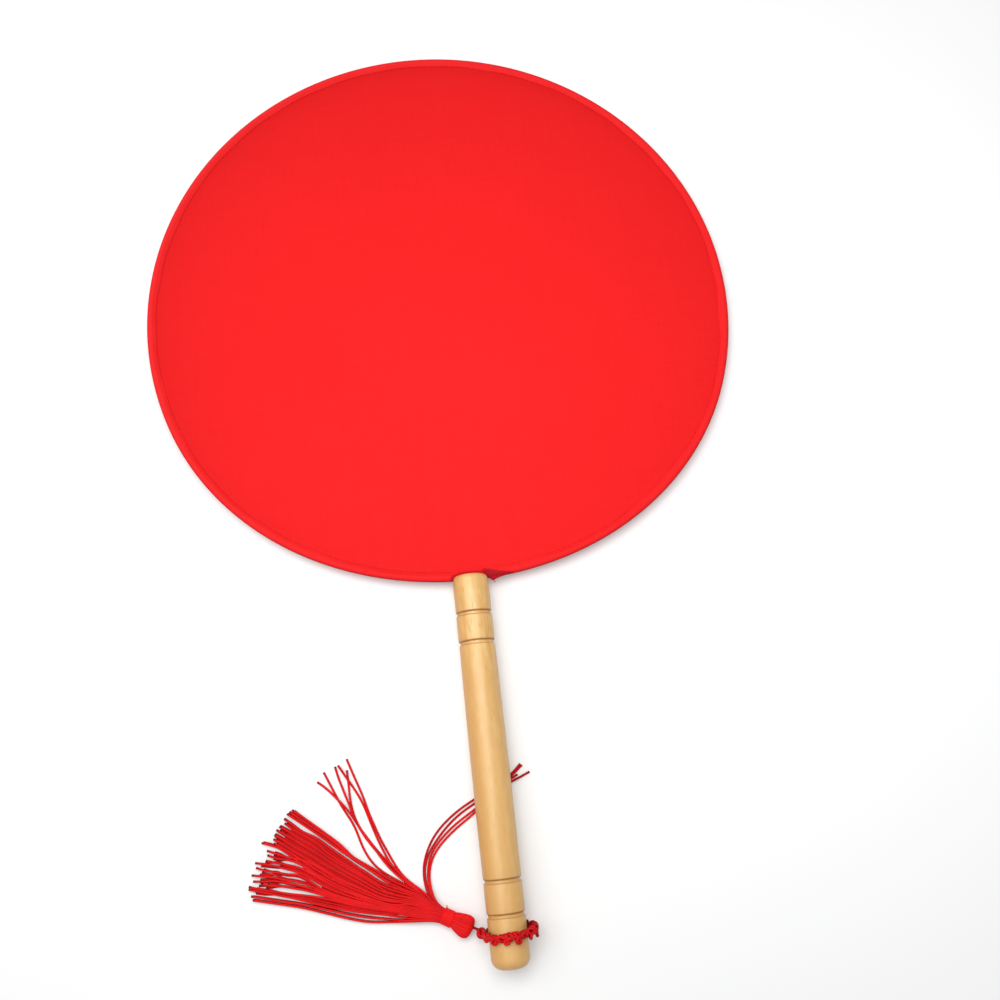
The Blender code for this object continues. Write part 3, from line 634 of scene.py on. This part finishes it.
def turned_handle():
    """The handle: a turned form with the slot for the rim cut across its top."""
    profile = handle_profile()
    sides = HANDLE_SIDES
    vertices = [Vector((0.0, 0.0, profile[0][1])), Vector((0.0, 0.0, profile[-1][1]))]
    recess_shade_and_dark_ends = [profile[0][2], profile[-1][2]]
    rings = profile[1:-1]
    for radius, height, mark in rings:
        for turn in once_round(sides):
            vertices.append(on_ring(radius, turn, height))
            recess_shade_and_dark_ends.append(mark)
    faces = []
    for side in range(sides):
        after = (side + 1) % sides
        faces.append((0, 2 + side, 2 + after))
        last = 2 + (len(rings) - 1) * sides
        faces.append((1, last + after, last + side))
        for ring in range(len(rings) - 1):
            low = 2 + ring * sides
            faces.append((low + side, low + sides + side, low + sides + after, low + after))
    body = loose("handle_blank", vertices, faces)
    store(body.data, "recess_shade_and_dark_ends", recess_shade_and_dark_ends)
    reach, half = 0.009, RIM_RADIUS + 0.0003
    low, high = SLOT_FLOOR - BUTT_END, HANDLE_LENGTH + 0.002
    corners = [Vector((x, y, z)) for x in (-reach, reach) for y in (-half, half)
               for z in (low, high)]
    cutter = loose("slot_cutter", corners, [(0, 1, 3, 2), (4, 6, 7, 5), (0, 4, 5, 1),
                                            (2, 3, 7, 6), (0, 2, 6, 4), (1, 5, 7, 3)])
    mesh = applied(body, cutter)
    piece("turned_handle", mesh, HANDLE, wood, "fan", "handle")
    mesh.set_sharp_from_angle(angle=radians(42))


def rim_place(turn, inset, height):
    """A point inside the disc's outline, at a turn measured from the handle."""
    away = min(abs(turn), tau - abs(turn))
    drawn = 0.0
    if away < DRAWN_IN_HALF_TURN:
        drawn = DRAWN_IN * cos(pi / 2 * away / DRAWN_IN_HALF_TURN) ** 2
    radius = DISC_RADIUS - drawn - inset
    return Vector((radius * sin(turn), -radius * cos(turn), height))


def cloth_rings(radius, flat, arc_steps, middle_steps):
    """(inset, height) pairs of one skin of the cloth, from the rim's middle line inward."""
    first = asin(0.00015 / radius)
    rings = []
    for step in range(arc_steps + 1):
        turn = first + (radians(112) - first) * step / arc_steps
        rings.append((RIM_RADIUS - radius * cos(turn), radius * sin(turn)))
    start_inset, start_height = rings[-1]
    for share in even(5)[1:]:
        rings.append((start_inset + (SEAM_INSET - start_inset) * share,
                      start_height + (flat - 0.00009 - start_height)
                      * (1 - (1 - share) ** 1.15)))
    for extra, lift in ((0.00015, -0.00012), (0.0003, -0.00013), (0.00045, -0.00007),
                        (0.0007, -0.00002), (0.0013, 0.00002), (0.0024, 0.00001), (0.004, 0.0),
                        (0.007, 0.0), (0.011, 0.0)):
        rings.append((SEAM_INSET + extra, flat + lift))
    last = rings[-1][0]
    for share in even(middle_steps)[1:]:
        rings.append((last + (DISC_RADIUS - DRAWN_IN - 0.003 - last) * share, flat))
    return rings


def relief(x, y):
    """Slight tension folds above the handle and one soft crease to the left of them."""
    height = 0.0
    reach = eased((-0.02 - y) / 0.1) * exp(-(x / 0.05) ** 2)
    height += 0.00011 * reach * sin(x * 520 + 0.8 + 2.2 * sin(y * 24))
    across = (x + 0.045) * 0.5 + (y + 0.03) * 0.87
    along = (x + 0.045) * 0.87 - (y + 0.03) * 0.5
    height += 0.0001 * exp(-(across / 0.0045) ** 2 - (along / 0.02) ** 2)
    height += 0.00009 * sin(x * 47 + 1.3) * sin(y * 39 + 0.4)
    return height


def cloth(name, side, look, node):
    """One face of the fan: stretched cloth folded over the hoop and stitched inside the rim."""
    turns = CLOTH_TURNS
    outer = cloth_rings(RIM_RADIUS, FLAT_HEIGHT, 12, 34)
    inner = cloth_rings(RIM_RADIUS - CLOTH_THICKNESS, FLAT_HEIGHT - CLOTH_THICKNESS, 6, 8)
    vertices, faces, marks = [], [], []
    for skin, rings in enumerate((outer, inner)):
        for inset, height in rings:
            for step in range(turns):
                turn = tau * step / turns
                wave = sin(tau * 150 * step / turns * 2)
                near_seam = exp(-((inset - SEAM_INSET + 0.0006) / 0.0007) ** 2)
                extra = 0.00004 * wave * near_seam
                # strength: largest at the upper left; it scales the painted shade of the crease
                # and just inside the seam, and the painted light on the rim band
                strength = 0.58 + 0.42 * cos(turn - radians(225))
                waver = 0.00016 * sin(31 * turn)
                waver += 0.0005 * (1 - strength) * sin(9 * turn + 0.7)
                waver *= exp(-((inset - SEAM_INSET) / 0.0016) ** 2)
                point = rim_place(turn, inset + waver, 0.0)
                sunk = exp(-((inset - SEAM_INSET - 0.00022) / 0.0002) ** 2)
                if not skin:
                    extra += 0.00009 * (1 - strength) * sunk
                if inset > SEAM_INSET + 0.0005:
                    extra += relief(point.x, point.y) * eased((inset - SEAM_INSET) / 0.006)
                # inside: the open slit beside the handle; it is sunk a little and painted in shade
                inside = 0.0
                if side > 0 and not skin:
                    in_slit = (eased((point.x - 0.0052) / 0.0006)
                               * eased((0.0186 - point.x) / 0.0008) * (point.y < 0))
                    lip = max(0.0005, 0.0006 + 0.272 * (0.0178 - point.x))
                    inside = in_slit * eased((lip - inset) / 0.0003)
                    extra -= 0.00032 * inside * eased(height / 0.001)
                vertices.append(Vector((point.x, point.y, side * (height + extra))))
                # painted shade at the fold over the rim and in the seam's crease
                fold = 0.8 * exp(-(height / 0.0008) ** 2) if inset < 0.0007 else 0.0
                crease = (0.5 * strength * sunk + fold) * (1 - inside)
                # painted light on the rim band, strongest at the upper left
                rim_band_light = (0.35 + 0.5 * strength) * eased((SEAM_INSET - inset) / 0.0006)
                past = inset - SEAM_INSET - 0.0006
                shade = 0.0 if past < 0 else 0.34 * strength * exp(-past / 0.006)
                marks.append((inside, crease, rim_band_light * (1 - inside), shade))
    skins = (0, len(outer) * turns)
    for base, rings in zip(skins, (outer, inner)):
        last = base + (len(rings) - 1) * turns
        for low in range(base, last, turns):
            faces += strip(low, low + turns, turns)
        middle = len(vertices)
        vertices.append(Vector((0.0, 0.0, side * rings[-1][1])))
        marks.append((0.0, 0.0, 0.0, 0.0))
        faces += [(last + step, last + (step + 1) % turns, middle) for step in range(turns)]
    faces += strip(0, skins[1], turns)
    work = loose(name + "_work", vertices, faces)
    for kind, values in zip(("inside", "crease", "rim_band_light", "shade"), zip(*marks)):
        store(work.data, kind, values)
    return piece(name, applied(work), FAN, look, "fan", node)


def seam(side):
    """The row of stitches just inside the rim."""
    yarn = Yarn()
    for number in range(STITCHES):
        turn = tau * (number + 0.5) / STITCHES
        if min(turn, tau - turn) < radians(3.6):
            continue
        points = []
        for share in even(4):
            here = turn + tau / STITCHES * 0.36 * (2 * share - 1)
            arch = sin(pi * share)
            points.append(rim_place(here, SEAM_INSET + 0.00002,
                                    side * (FLAT_HEIGHT - 0.00013 + 0.0001 * arch)))
        yarn.lay(points, lambda share: 0.00006 + 0.00004 * sin(pi * share),
                 sides=6, pitch=0.0006)
    name = "front_seam" if side > 0 else "back_seam"
    return piece(name, yarn, FAN, thread_red, "fan")


def slit_flap():
    """The back cloth's edge that droops out of the open seam beside the handle."""
    outline = [(0.0073, -0.1172), (0.0076, -0.1186), (0.0089, -0.1196), (0.0094, -0.1197),
               (0.0106, -0.1191), (0.0128, -0.1185), (0.0152, -0.118), (0.0165, -0.1176),
               (0.0152, -0.1169), (0.0118, -0.1166)]
    vertices = []
    for height in (0.0006, 0.00022):
        for x, y in outline:
            vertices.append(Vector((x, y, height - 0.35 * max(0.0, -0.1185 - y))))
    count = len(outline)
    faces = [tuple(range(count)), tuple(range(2 * count - 1, count - 1, -1))]
    for step in range(count):
        after = (step + 1) % count
        faces.append((step, count + step, count + after, after))
    mesh = applied(loose("flap_work", vertices, faces))
    # the whole flap is painted in the slit's shade
    store(mesh, "inside", [0.75] * len(mesh.vertices))
    piece("slit_flap", mesh, FAN, front_red, "fan")
    yarn = Yarn()
    route = smooth_route([Vector(place) for place in (
        (0.0092, -0.1194, 0.0005), (0.0096, -0.1203, 0.0006), (0.0099, -0.1205, 0.0003),
        (0.0101, -0.1202, 0.0))], 16)
    yarn.lay(route, 0.00012, sides=6, pitch=0.0006)
    piece("thread_end", yarn, FAN, thread_red, "fan")


KNOT_SIDE = radians(211)
BULGE_SIDE = radians(14)
CORD_RADIUS = 0.00056
LUMPS = 12
LOOPS = 13
# edge: painted shade on the sides of the cords that face inward, towards the handle
ROPE = {"sides": 15, "pitch": 0.0026, "closed": True, "lobes": 3, "depth": 0.16, "edge": 0.9}


def nearness(turn, place, width):
    """1 at a place round the collar, falling to 0 beside it."""
    away = (turn - place + pi) % tau - pi
    return exp(-(away / width) ** 2)


def from_handle(point):
    return Vector((point.x, 0.0, point.z)).normalized()


def collar():
    """The plaited collar: three cords laid round one another and a fourth looped along them."""
    yarn = Yarn()
    for cord in range(3):
        points = []
        for turn in once_round(240):
            close = nearness(turn, KNOT_SIDE, radians(55))
            bulge = nearness(turn, BULGE_SIDE, radians(34))
            phase = tau * cord / 3 - LUMPS * turn + 0.5 * sin(4 * turn + 2 * cord)
            size = (1 - 0.65 * close) * (1 + 0.25 * bulge) * (1 + 0.14 * sin(5 * turn + cord))
            around = 0.00922 - 0.0008 * close + 0.0012 * bulge + 0.0006 * size * sin(phase)
            along = (0.0004 + 0.00022 * sin(2 * turn + 1) + 0.00018 * sin(5 * turn)
                     + 0.00115 * size * cos(phase) - 0.0006 * close)
            points.append(Vector((around * cos(turn), along, around * sin(turn))))
        yarn.lay(points, CORD_RADIUS, outward=from_handle, **ROPE)
    points = []
    for turn in once_round(432):
        close = nearness(turn, KNOT_SIDE, radians(60))
        bulge = nearness(turn, BULGE_SIDE, radians(34))
        below = nearness(turn, -pi / 2, radians(50))
        phase = LOOPS * turn - 3.06 + 0.2 * sin(3 * turn)
        size = (1 - 0.85 * close) * (1 + 0.25 * sin(7 * turn + 0.4))
        here = turn - 0.0017 * size * sin(phase) / 0.0094
        around = (0.0099 - 0.001 * close + 0.001 * bulge - 0.0006 * below
                  + 0.0003 * size * cos(phase + 1.2) * (1 - below))
        along = -0.0006 - 0.0012 * size * cos(phase) + 0.0003 * close
        points.append(Vector((around * cos(here), along, around * sin(here))))
    yarn.lay(points, CORD_RADIUS * 1.18, outward=from_handle, **ROPE)
    piece("collar_plait", yarn, COLLAR, cord_red, "collar", "collar_braid")


def knot():
    """The small knot between collar and tassel, its two plies and the tassel's hanging cord."""
    yarn = Yarn()
    points = []
    for turn in once_round(126):
        radius = 0.00085 + 0.0005 * cos(3 * turn)
        points.append(Vector((1.4 * radius * cos(2 * turn) - 0.0022,
                              0.0013 * sin(3 * turn) + 0.0007,
                              radius * sin(2 * turn) - 0.0002)))
    yarn.lay(points, CORD_RADIUS * 1.35, sides=14, pitch=0.0022, closed=True, lobes=3, depth=0.18,
             edge=0.8)
    piece("small_knot", yarn, KNOT, cord_red, "link", "hanging_knot")
    yarn = Yarn()
    for side in (-1, 1):
        ply = []
        for share in even(30):
            turn = pi * (1 + 1.6 * share) * side
            ply.append(KNOT @ Vector((-0.0016 - 0.0034 * share,
                                      0.0004 * sin(turn) + 0.0005,
                                      0.0004 * cos(turn) * side + 0.0018 * share)))
        yarn.lay(ply, 0.0005, sides=12, pitch=0.002, lobes=3, depth=0.15, edge=0.8)
    made = piece("knot_plies", yarn, Matrix(), cord_red, None)
    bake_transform(made)
    yarn = Yarn()
    # the hanging cord is painted in shade along its length; most of it lies inside the head
    yarn.lay(straight(-0.0008, 0.0106, 40), 0.0005,
             sides=12, pitch=0.002, lobes=2, depth=0.25, yarn_shade=0.6)
    piece("tassel_cord", yarn, AXIS, cord_red, "tassel", "hanging_cord")


def fuller_below(yarn, amount, place, reach):
    """Widen the side of the tassel that lies towards the butt, most at one place along it."""
    for vertex in yarn.vertices:
        if vertex.y > 0:
            vertex.y *= 1 + amount * exp(-((vertex.z - place) / reach) ** 2)


HEAD_SHARES = ((0.0, 0.3), (0.025, 0.52), (0.06, 0.74), (0.11, 0.9), (0.2, 0.99), (0.33, 1.03),
               (0.48, 1.0), (0.64, 0.93), (0.8, 0.85), (0.93, 0.77), (1.04, 0.66))


def head():
    """The egg-shaped head: yarns laid lengthwise over a core and drawn in at both ends."""
    def wide(share):
        return between(*zip(*HEAD_SHARES), HEAD_COVER / HEAD_LENGTH * share)

    yarn = Yarn()
    yarn.lay(straight(HEAD_START, HEAD_COVER, 30),
             lambda share: HEAD_RADIUS * wide(share) * 0.92, sides=36, pitch=0.004)
    count = 44
    for number in range(count):
        turn = tau * (number + chance.uniform(-0.2, 0.2)) / count
        lean = chance.uniform(-0.1, 0.1)
        sunk = chance.uniform(0.93, 0.955)
        points = []
        for share in even(24):
            radius = HEAD_RADIUS * wide(share) * sunk
            points.append(on_ring(radius, turn + lean * share, HEAD_START + HEAD_COVER * share))
        yarn.lay(points, lambda share: 0.00027 * (0.3 + 0.7 * wide(share)), sides=8, pitch=0.0022)
    fuller_below(yarn, 0.42, HEAD_START + 0.36 * HEAD_LENGTH, 0.007)
    piece("tassel_head_yarn", yarn, AXIS, head_red, "tassel", "tassel_head")


def binding():
    """Thread wound round the neck, its end tucked under and standing out a little."""
    yarn = Yarn()
    start, end = NECK_START + 0.00012, NECK_END - 0.0001
    wraps = 12
    points = []
    for share in even(wraps * 32):
        points.append(on_ring(NECK_RADIUS - 0.0002, tau * wraps * share,
                              start + (end - start) * share))
    yarn.lay(points, 0.00019, sides=8, pitch=0.001)
    yarn.lay(straight(start, end - start, 4), NECK_RADIUS - 0.00028, sides=24, pitch=0.004)
    tail = smooth_route([Vector((x, y, NECK_END - short)) for x, y, short in (
        (-0.0008, -0.0024, 0.0008), (-0.0009, -0.0029, 0.0004), (-0.001, -0.0036, 0.0001))], 10)
    yarn.lay(tail, 0.0002, sides=8, pitch=0.001, cut_length=0.0003)
    fuller_below(yarn, 0.36, NECK_START, 0.02)
    piece("neck_thread", yarn, AXIS, band_red, "tassel", "neck_binding")


def shares(*rows):
    """Routes from thousandths of the skirt's length: towards the near side, along, and so on."""
    return tuple(tuple((near / 1000, along / 1000) for near, along in zip(row[::2], row[1::2]))
                 for row in rows)


# the visible strands of the skirt, tip first
SKIRT_ROUTES = shares(
    (244, 946, 220, 853, 192, 753, 157, 638, 122, 559, 108, 493, 94, 412, 73, 316),
    (232, 955, 208, 861, 182, 755, 151, 649, 117, 566, 98, 490, 76, 393, 52, 290),
    (217, 964, 194, 868, 171, 777, 146, 685, 123, 600, 105, 524, 84, 440, 55, 322),
    (189, 970, 174, 912, 157, 855, 150, 775, 129, 698, 104, 606, 82, 522, 66, 453, 44, 350),
    (168, 959, 152, 903, 141, 835, 124, 753, 98, 689, 82, 629, 65, 541, 49, 459, 28, 344),
    (143, 979, 134, 922, 119, 853, 105, 771, 86, 701, 69, 625, 53, 536, 36, 442, 11, 307),
    (122, 988, 111, 926, 95, 843, 78, 748, 56, 651, 38, 569, 23, 469, 5, 336),
    (94, 989, 85, 928, 68, 846, 56, 765, 35, 669, 21, 575, 6, 468, -11, 330),
    (73, 986, 64, 927, 46, 844, 31, 762, 13, 673, -4, 578, -14, 474, -24, 325),
    (54, 975, 45, 920, 31, 851, 13, 774, -5, 692, -21, 597, -31, 480, -35, 321),
    (35, 1038, 39, 993, 39, 943, 27, 887, 7, 823, -14, 764, -32, 700, -46, 626, -54, 534, -53, 422,
     -44, 287),
    (7, 997, 8, 943, 9, 880, 19, 827, 21, 758, 7, 683, -13, 581, -18, 485, -27, 324),
    (-14, 987, -13, 929, -1, 870, -2, 806, -18, 731, -30, 657, -41, 565, -48, 442, -44, 287),
    (-42, 984, -35, 927, -28, 879, -21, 812, -27, 740, -41, 665, -53, 566, -59, 439, -52, 284),
    (-71, 1033, -61, 986, -53, 932, -47, 871, -44, 810, -50, 738, -65, 657, -72, 560, -69, 435,
     -57, 282),
    (-92, 1020, -90, 968, -80, 909, -72, 856, -58, 798, -62, 746, -82, 663, -87, 554, -80, 431,
     -63, 280),
    (-135, 1028, -124, 981, -109, 917, -102, 857, -89, 786, -88, 711, -95, 632, -92, 533, -82, 411,
     -65, 279),
    (-161, 1009, -147, 965, -124, 905, -112, 840, -104, 768, -101, 693, -101, 605, -96, 507, -86,
     397, -71, 277),
    (-161, 966, -152, 913, -136, 856, -125, 791, -115, 726, -111, 652, -109, 565, -100, 467, -88,
     365, -67, 247),
    (-193, 1021, -189, 974, -176, 897, -161, 809, -145, 739, -127, 646, -115, 543, -107, 452, -93,
     351, -72, 245),
    (-206, 1017, -197, 949, -181, 845, -168, 731, -160, 616, -144, 503, -124, 393, -100, 283),
    (-234, 992, -211, 857, -188, 724, -173, 595, -161, 489, -144, 385, -121, 283),
    (-249, 977, -225, 844, -203, 718, -190, 589, -181, 490, -170, 407, -156, 342, -126, 250),
)


def skirt_strand(yarn, route, level, root, sway, yarn_shade, cut_length=0.0007):
    """One strand from its cut tip to the neck, at a level of the stack."""
    table_height = TABLE_HEIGHT + level * LEVEL_RISE
    points = []
    for near, along in route:
        lift = (1 - eased(along / 0.3)) * (NECK_HEIGHT - table_height) * 0.9
        points.append(Vector((along * SKIRT_LENGTH,
                              -near * SKIRT_LENGTH + sway * eased(along / 0.4),
                              table_height + lift)))
    wider = 1.15 if root[0] > 0 else 1.0
    points.append(Vector((0.012, root[0] * 1.9 + (points[-1].y - root[0] * 1.9) * 0.22,
                          NECK_HEIGHT * 0.82 + root[1] * 0.55)))
    points.append(Vector((0.0035, root[0] * wider, NECK_HEIGHT + root[1])))
    points.append(Vector((-0.0006, root[0] * 0.95, NECK_HEIGHT + root[1] * 0.95)))
    path = [Vector((p.x, p.y, max(p.z, TABLE_HEIGHT)))
            for p in smooth_route(points, 60)[::-1]]
    yarn.lay(path, lambda share: STRAND_RADIUS * between(
        (0.0, 0.12, 0.3, 0.45, 1.0), (0.55, 0.68, 0.88, 1.0, 1.0), share), sides=8,
        pitch=STRAND_PITCH, cut_length=cut_length, yarn_shade=yarn_shade, edge=0.75)


# how far, in mm towards the near side, the two lower strands of each route lie from the top one
NEAR, FAR, BOTH, NONE = (0.42, 0.2), (-0.42, -0.2), (0.42, -0.42), (0.0, 0.0)
TWIN_OFFSETS = (FAR, BOTH, NEAR, (-0.3, -0.15), *[BOTH] * 6, NEAR, FAR, NEAR, (-0.42, -0.65),
                NEAR, FAR, NEAR, FAR, NONE, FAR, NEAR, NONE, NONE)
# how far out more strands reach, half-way from each route to the next, from route 3 on
FILLERS = (0.96, 0.96, 0.97, 0.98, 0.98, 0.97, 0.96, 0.7, 0.62, 0.66, 0.7, 0.7, 0.66, 0.64, 0.6,
           0.66, 0.98)


def middle_route(first, second):
    """A route half-way between two others."""
    pair = [smooth_route([Vector((near, along, 0.0)) for near, along in route], 12)
            for route in (first, second)]
    return [((a.x + b.x) / 2, (a.y + b.y) / 2) for a, b in zip(*pair)]


def skirt():
    """The skirt in four meshes, one for each layer of the solid tassel."""
    layers = [Yarn() for _ in range(4)]
    last = len(SKIRT_ROUTES) - 1
    for number, route in enumerate(SKIRT_ROUTES):
        across = 1 - 2 * number / last
        splayed = 11 <= number <= 20
        for level in range(3):
            twin = list(route)
            if level < 2:
                twin[0] = (twin[0][0], twin[0][1] - chance.uniform(0.0, 0.02))
            if splayed and level < 2:
                aside = 0.011 if level else -0.011
                twin = [(near + aside * eased((along - 0.84) / 0.09),
                         along - 0.03 * eased((along - 0.9) / 0.08)) for near, along in twin]
            sway = 0.0
            if level < 2:
                sway = chance.uniform(-0.00012, 0.00012) - 0.001 * TWIN_OFFSETS[number][1 - level]
            ring = sqrt(max(0.0, 1 - (across * 0.96) ** 2))
            root = (-across * (0.0021 if across > 0 else 0.0033),
                    0.0021 * ring * (level - 1) * 0.85 + chance.uniform(-0.0002, 0.0002))
            # the lower strands of each route get more painted shade (last argument)
            skirt_strand(layers[(number + level) % 4], twin, 0.1 + level * 0.85, root, sway,
                         ((0.3, 0.15, 0.0) if splayed else (0.5, 0.3, 0.0))[level])
    for number, start in enumerate(FILLERS, 3):
        route = middle_route(SKIRT_ROUTES[number], SKIRT_ROUTES[number + 1])
        route = [place for place in route if place[1] < start]
        for level in range(2):
            root = (-(1 - (2 * number + 1) / last) * 0.0024, 0.0015 * (level - 1))
            # the fillers lie low and get painted shade
            skirt_strand(layers[(number + level) % 4], route, 0.05 + level * 0.8, root, 0.0,
                         (0.6, 0.35)[level], 0.0)
    for number, yarn in enumerate(layers, 1):
        piece("skirt_yarn_%d" % number, yarn, SKIRT, skirt_red, "tassel",
              "skirt_layer_%d" % number)


STRAY_ROUTES = shares(
    (122, 331, 167, 411, 205, 481, 246, 544, 283, 589, 321, 636, 351, 687, 376, 745, 405, 804, 421,
     871),
    (89, 351, 112, 427, 152, 489, 197, 537, 259, 589, 297, 635, 334, 689, 383, 747, 438, 808, 480,
     856),
    (160, 385, 195, 453, 237, 520, 277, 583, 314, 623, 360, 658, 424, 721, 483, 775, 528, 809),
    (128, 321, 184, 393, 237, 452, 292, 504, 336, 545, 395, 598, 449, 666, 497, 733, 540, 794),
    (209, 478, 251, 546, 292, 597, 343, 640, 407, 679, 474, 711, 531, 741),
    (98, 243, 144, 319, 204, 391, 253, 449, 305, 499, 357, 551, 430, 611, 494, 675, 586, 763),
)
STRAY_HUMPS = {1: (0.36, 0.71, 0.16), 3: (0.37, 0.66, 0.1), 4: (0.5, 0.76, 0.09)}
# how each stray comes out of the neck before it leaves the skirt
STRAY_ROOTS = shares(
    (18, 45, 45, 140),
    (15, 45, 40, 130, 75, 250),
    (20, 45, 55, 140, 100, 240),
    (22, 45, 55, 130),
    (24, 45, 60, 150, 110, 310, 160, 405),
    (27, 45, 70, 130),
)
UNDER_ROUTES = shares(
    (20, 49, 47, 90, 87, 128, 137, 158, 190, 180, 247, 186, 316, 184, 384, 168, 450, 139, 505, 107,
     555, 73, 607, 29, 696, -44, 787, -117, 817, -128, 841, -138, 863, -147),
    (24, 47, 52, 87, 92, 123, 139, 153, 188, 173, 246, 175, 297, 168, 353, 152, 416, 130, 478, 100,
     539, 60, 587, 21, 682, -49, 781, -120, 809, -133, 837, -147, 860, -158),
    (28, 44, 57, 81, 99, 115, 147, 139, 194, 155, 231, 162, 283, 158, 334, 143, 394, 117, 451, 86,
     504, 50, 560, 9, 660, -56, 760, -129, 782, -155, 809, -182, 839, -209),
    (32, 41, 62, 76, 102, 108, 146, 131, 198, 145, 241, 148, 289, 140, 338, 123, 390, 98, 444, 68,
     497, 33, 545, 3, 660, -56, 773, -122, 789, -137, 804, -150),
)
UNDER_HUMPS = {3: (0.745, -0.108, 0.12), 4: (0.735, -0.1, 0.12)}
# painted shade on each of these: the two outer ones all along, the others past the handle, where
# the handle's shadow falls
UNDER_SHADES = (0.45, 0.45, lambda share: 0.7 * eased((share - 0.84) / 0.04),
                lambda share: 0.4 * eased((share - 0.86) / 0.04))


def on_table(near, along, height=TABLE_HEIGHT):
    """A point in the skirt's frame, from shares of its length."""
    return Vector((along * SKIRT_LENGTH, -near * SKIRT_LENGTH, height))


def settled(points, passes):
    """A route with its small kinks smoothed out; its ends stay."""
    for _ in range(passes):
        inner = ((a + b * 2 + c) / 4 for a, b, c in zip(points, points[1:], points[2:]))
        points = [points[0], *inner, points[-1]]
    return points


def loose_strand(name, node, route, root, hump, lifted, under=False, shade=0.0):
    """A single strand on the table: from the neck, down beside the skirt and off on its own."""
    levels = []
    for near, along in root:
        drop = 1 - eased(hypot(near, along) / 0.27)
        levels.append(on_table(near, along,
                               TABLE_HEIGHT + (NECK_HEIGHT - STRAND_RADIUS) * drop + lifted))
    levels += [on_table(near, along) for near, along in route]
    start = Vector((-0.0004, -0.0019, NECK_HEIGHT + 0.0006))
    points = settled(smooth_route([start, *levels], 110), 30)
    raised = []
    for point in points:
        height = point.z
        if hump:
            away = (point - on_table(*hump[:2])).xy.length / (hump[2] * SKIRT_LENGTH)
            height += HUMP_RISE * eased(2 * (1 - away))
        raised.append(SKIRT @ Vector((point.x, point.y, max(height, TABLE_HEIGHT))))
    yarn = Yarn()
    yarn.lay(raised,
             lambda share: STRAND_RADIUS * between((0.0, 0.15, 1.0), (0.6, 1.0, 1.0), share),
             sides=8, pitch=STRAND_PITCH, cut_length=0.0007, edge=0.6, yarn_shade=shade)
    made = piece(name, yarn, Matrix(), skirt_red, None if under else "tassel", node)
    if under:
        start, end = (tuple(SKIRT @ Vector((0.006, y, 0.0))) for y in (-0.0035, -0.027))
        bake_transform(made)


# ---- the object
turned_handle()
front = cloth("front_face", 1, front_red, "front_cloth")
back = cloth("back_face", -1, back_red, "back_cloth")
front_stitches = seam(1)
back_stitches = seam(-1)
slit_flap()
collar()
knot()
head()
binding()
skirt()
for number, (route, root) in enumerate(zip(STRAY_ROUTES, STRAY_ROOTS), 1):
    loose_strand("loose_yarn_%d" % number, "stray_strand_%d" % number, route, root,
                 STRAY_HUMPS.get(number), 0.0003 + 0.00012 * number)
for number, route in enumerate(UNDER_ROUTES, 1):
    loose_strand("under_yarn_%d" % number, "under_strand_%d" % number, route[3:], route[:3],
                 UNDER_HUMPS.get(number), 0.0, under=True, shade=UNDER_SHADES[number - 1])

for node, look in (("glue_plug", glue_look()), ("hoop_wire", steel_look())):
    carried = bpy.data.objects[node]
    for place in carried.material_slots:
        place.material = look

floor_mesh = bpy.data.meshes.new("table_top")
floor_mesh.from_pydata([(FLOOR_REACH * x, FLOOR_REACH * y, 0)
                        for x, y in ((-1, -1), (1, -1), (1, 1), (-1, 1))],
                       [], [(0, 1, 2, 3)])
table_look = Look("white_table", 0.7, Specular_IOR_Level=0.1, Emission_Color=(1.0, 1.0, 1.0, 1.0))
specks = table_look.noise(table_look.place(), 3.0)
table_x, table_y = table_look.axes(table_look.place())[:2]
# camera-only glow that whitens the floor; the glow grows towards the far side and the right, a
# painted light
seen = table_look.node("LightPath").outputs["Is Camera Ray"]
floor_mesh.materials.append(table_look.set(
    Base_Color=table_look.mix(table_look.span(specks, 0.3, 0.7), (0.86, 0.86, 0.86),
                              (0.84, 0.845, 0.845)),
    Emission_Strength=table_look.maths("MULTIPLY", seen, table_look.maths(
        "ADD", table_look.span(table_y, -0.24, -0.02, 0.09, 0.17),
        table_look.span(table_x, 0.05, 0.25, 0.0, 0.08)))))
placed("table_top", floor_mesh)
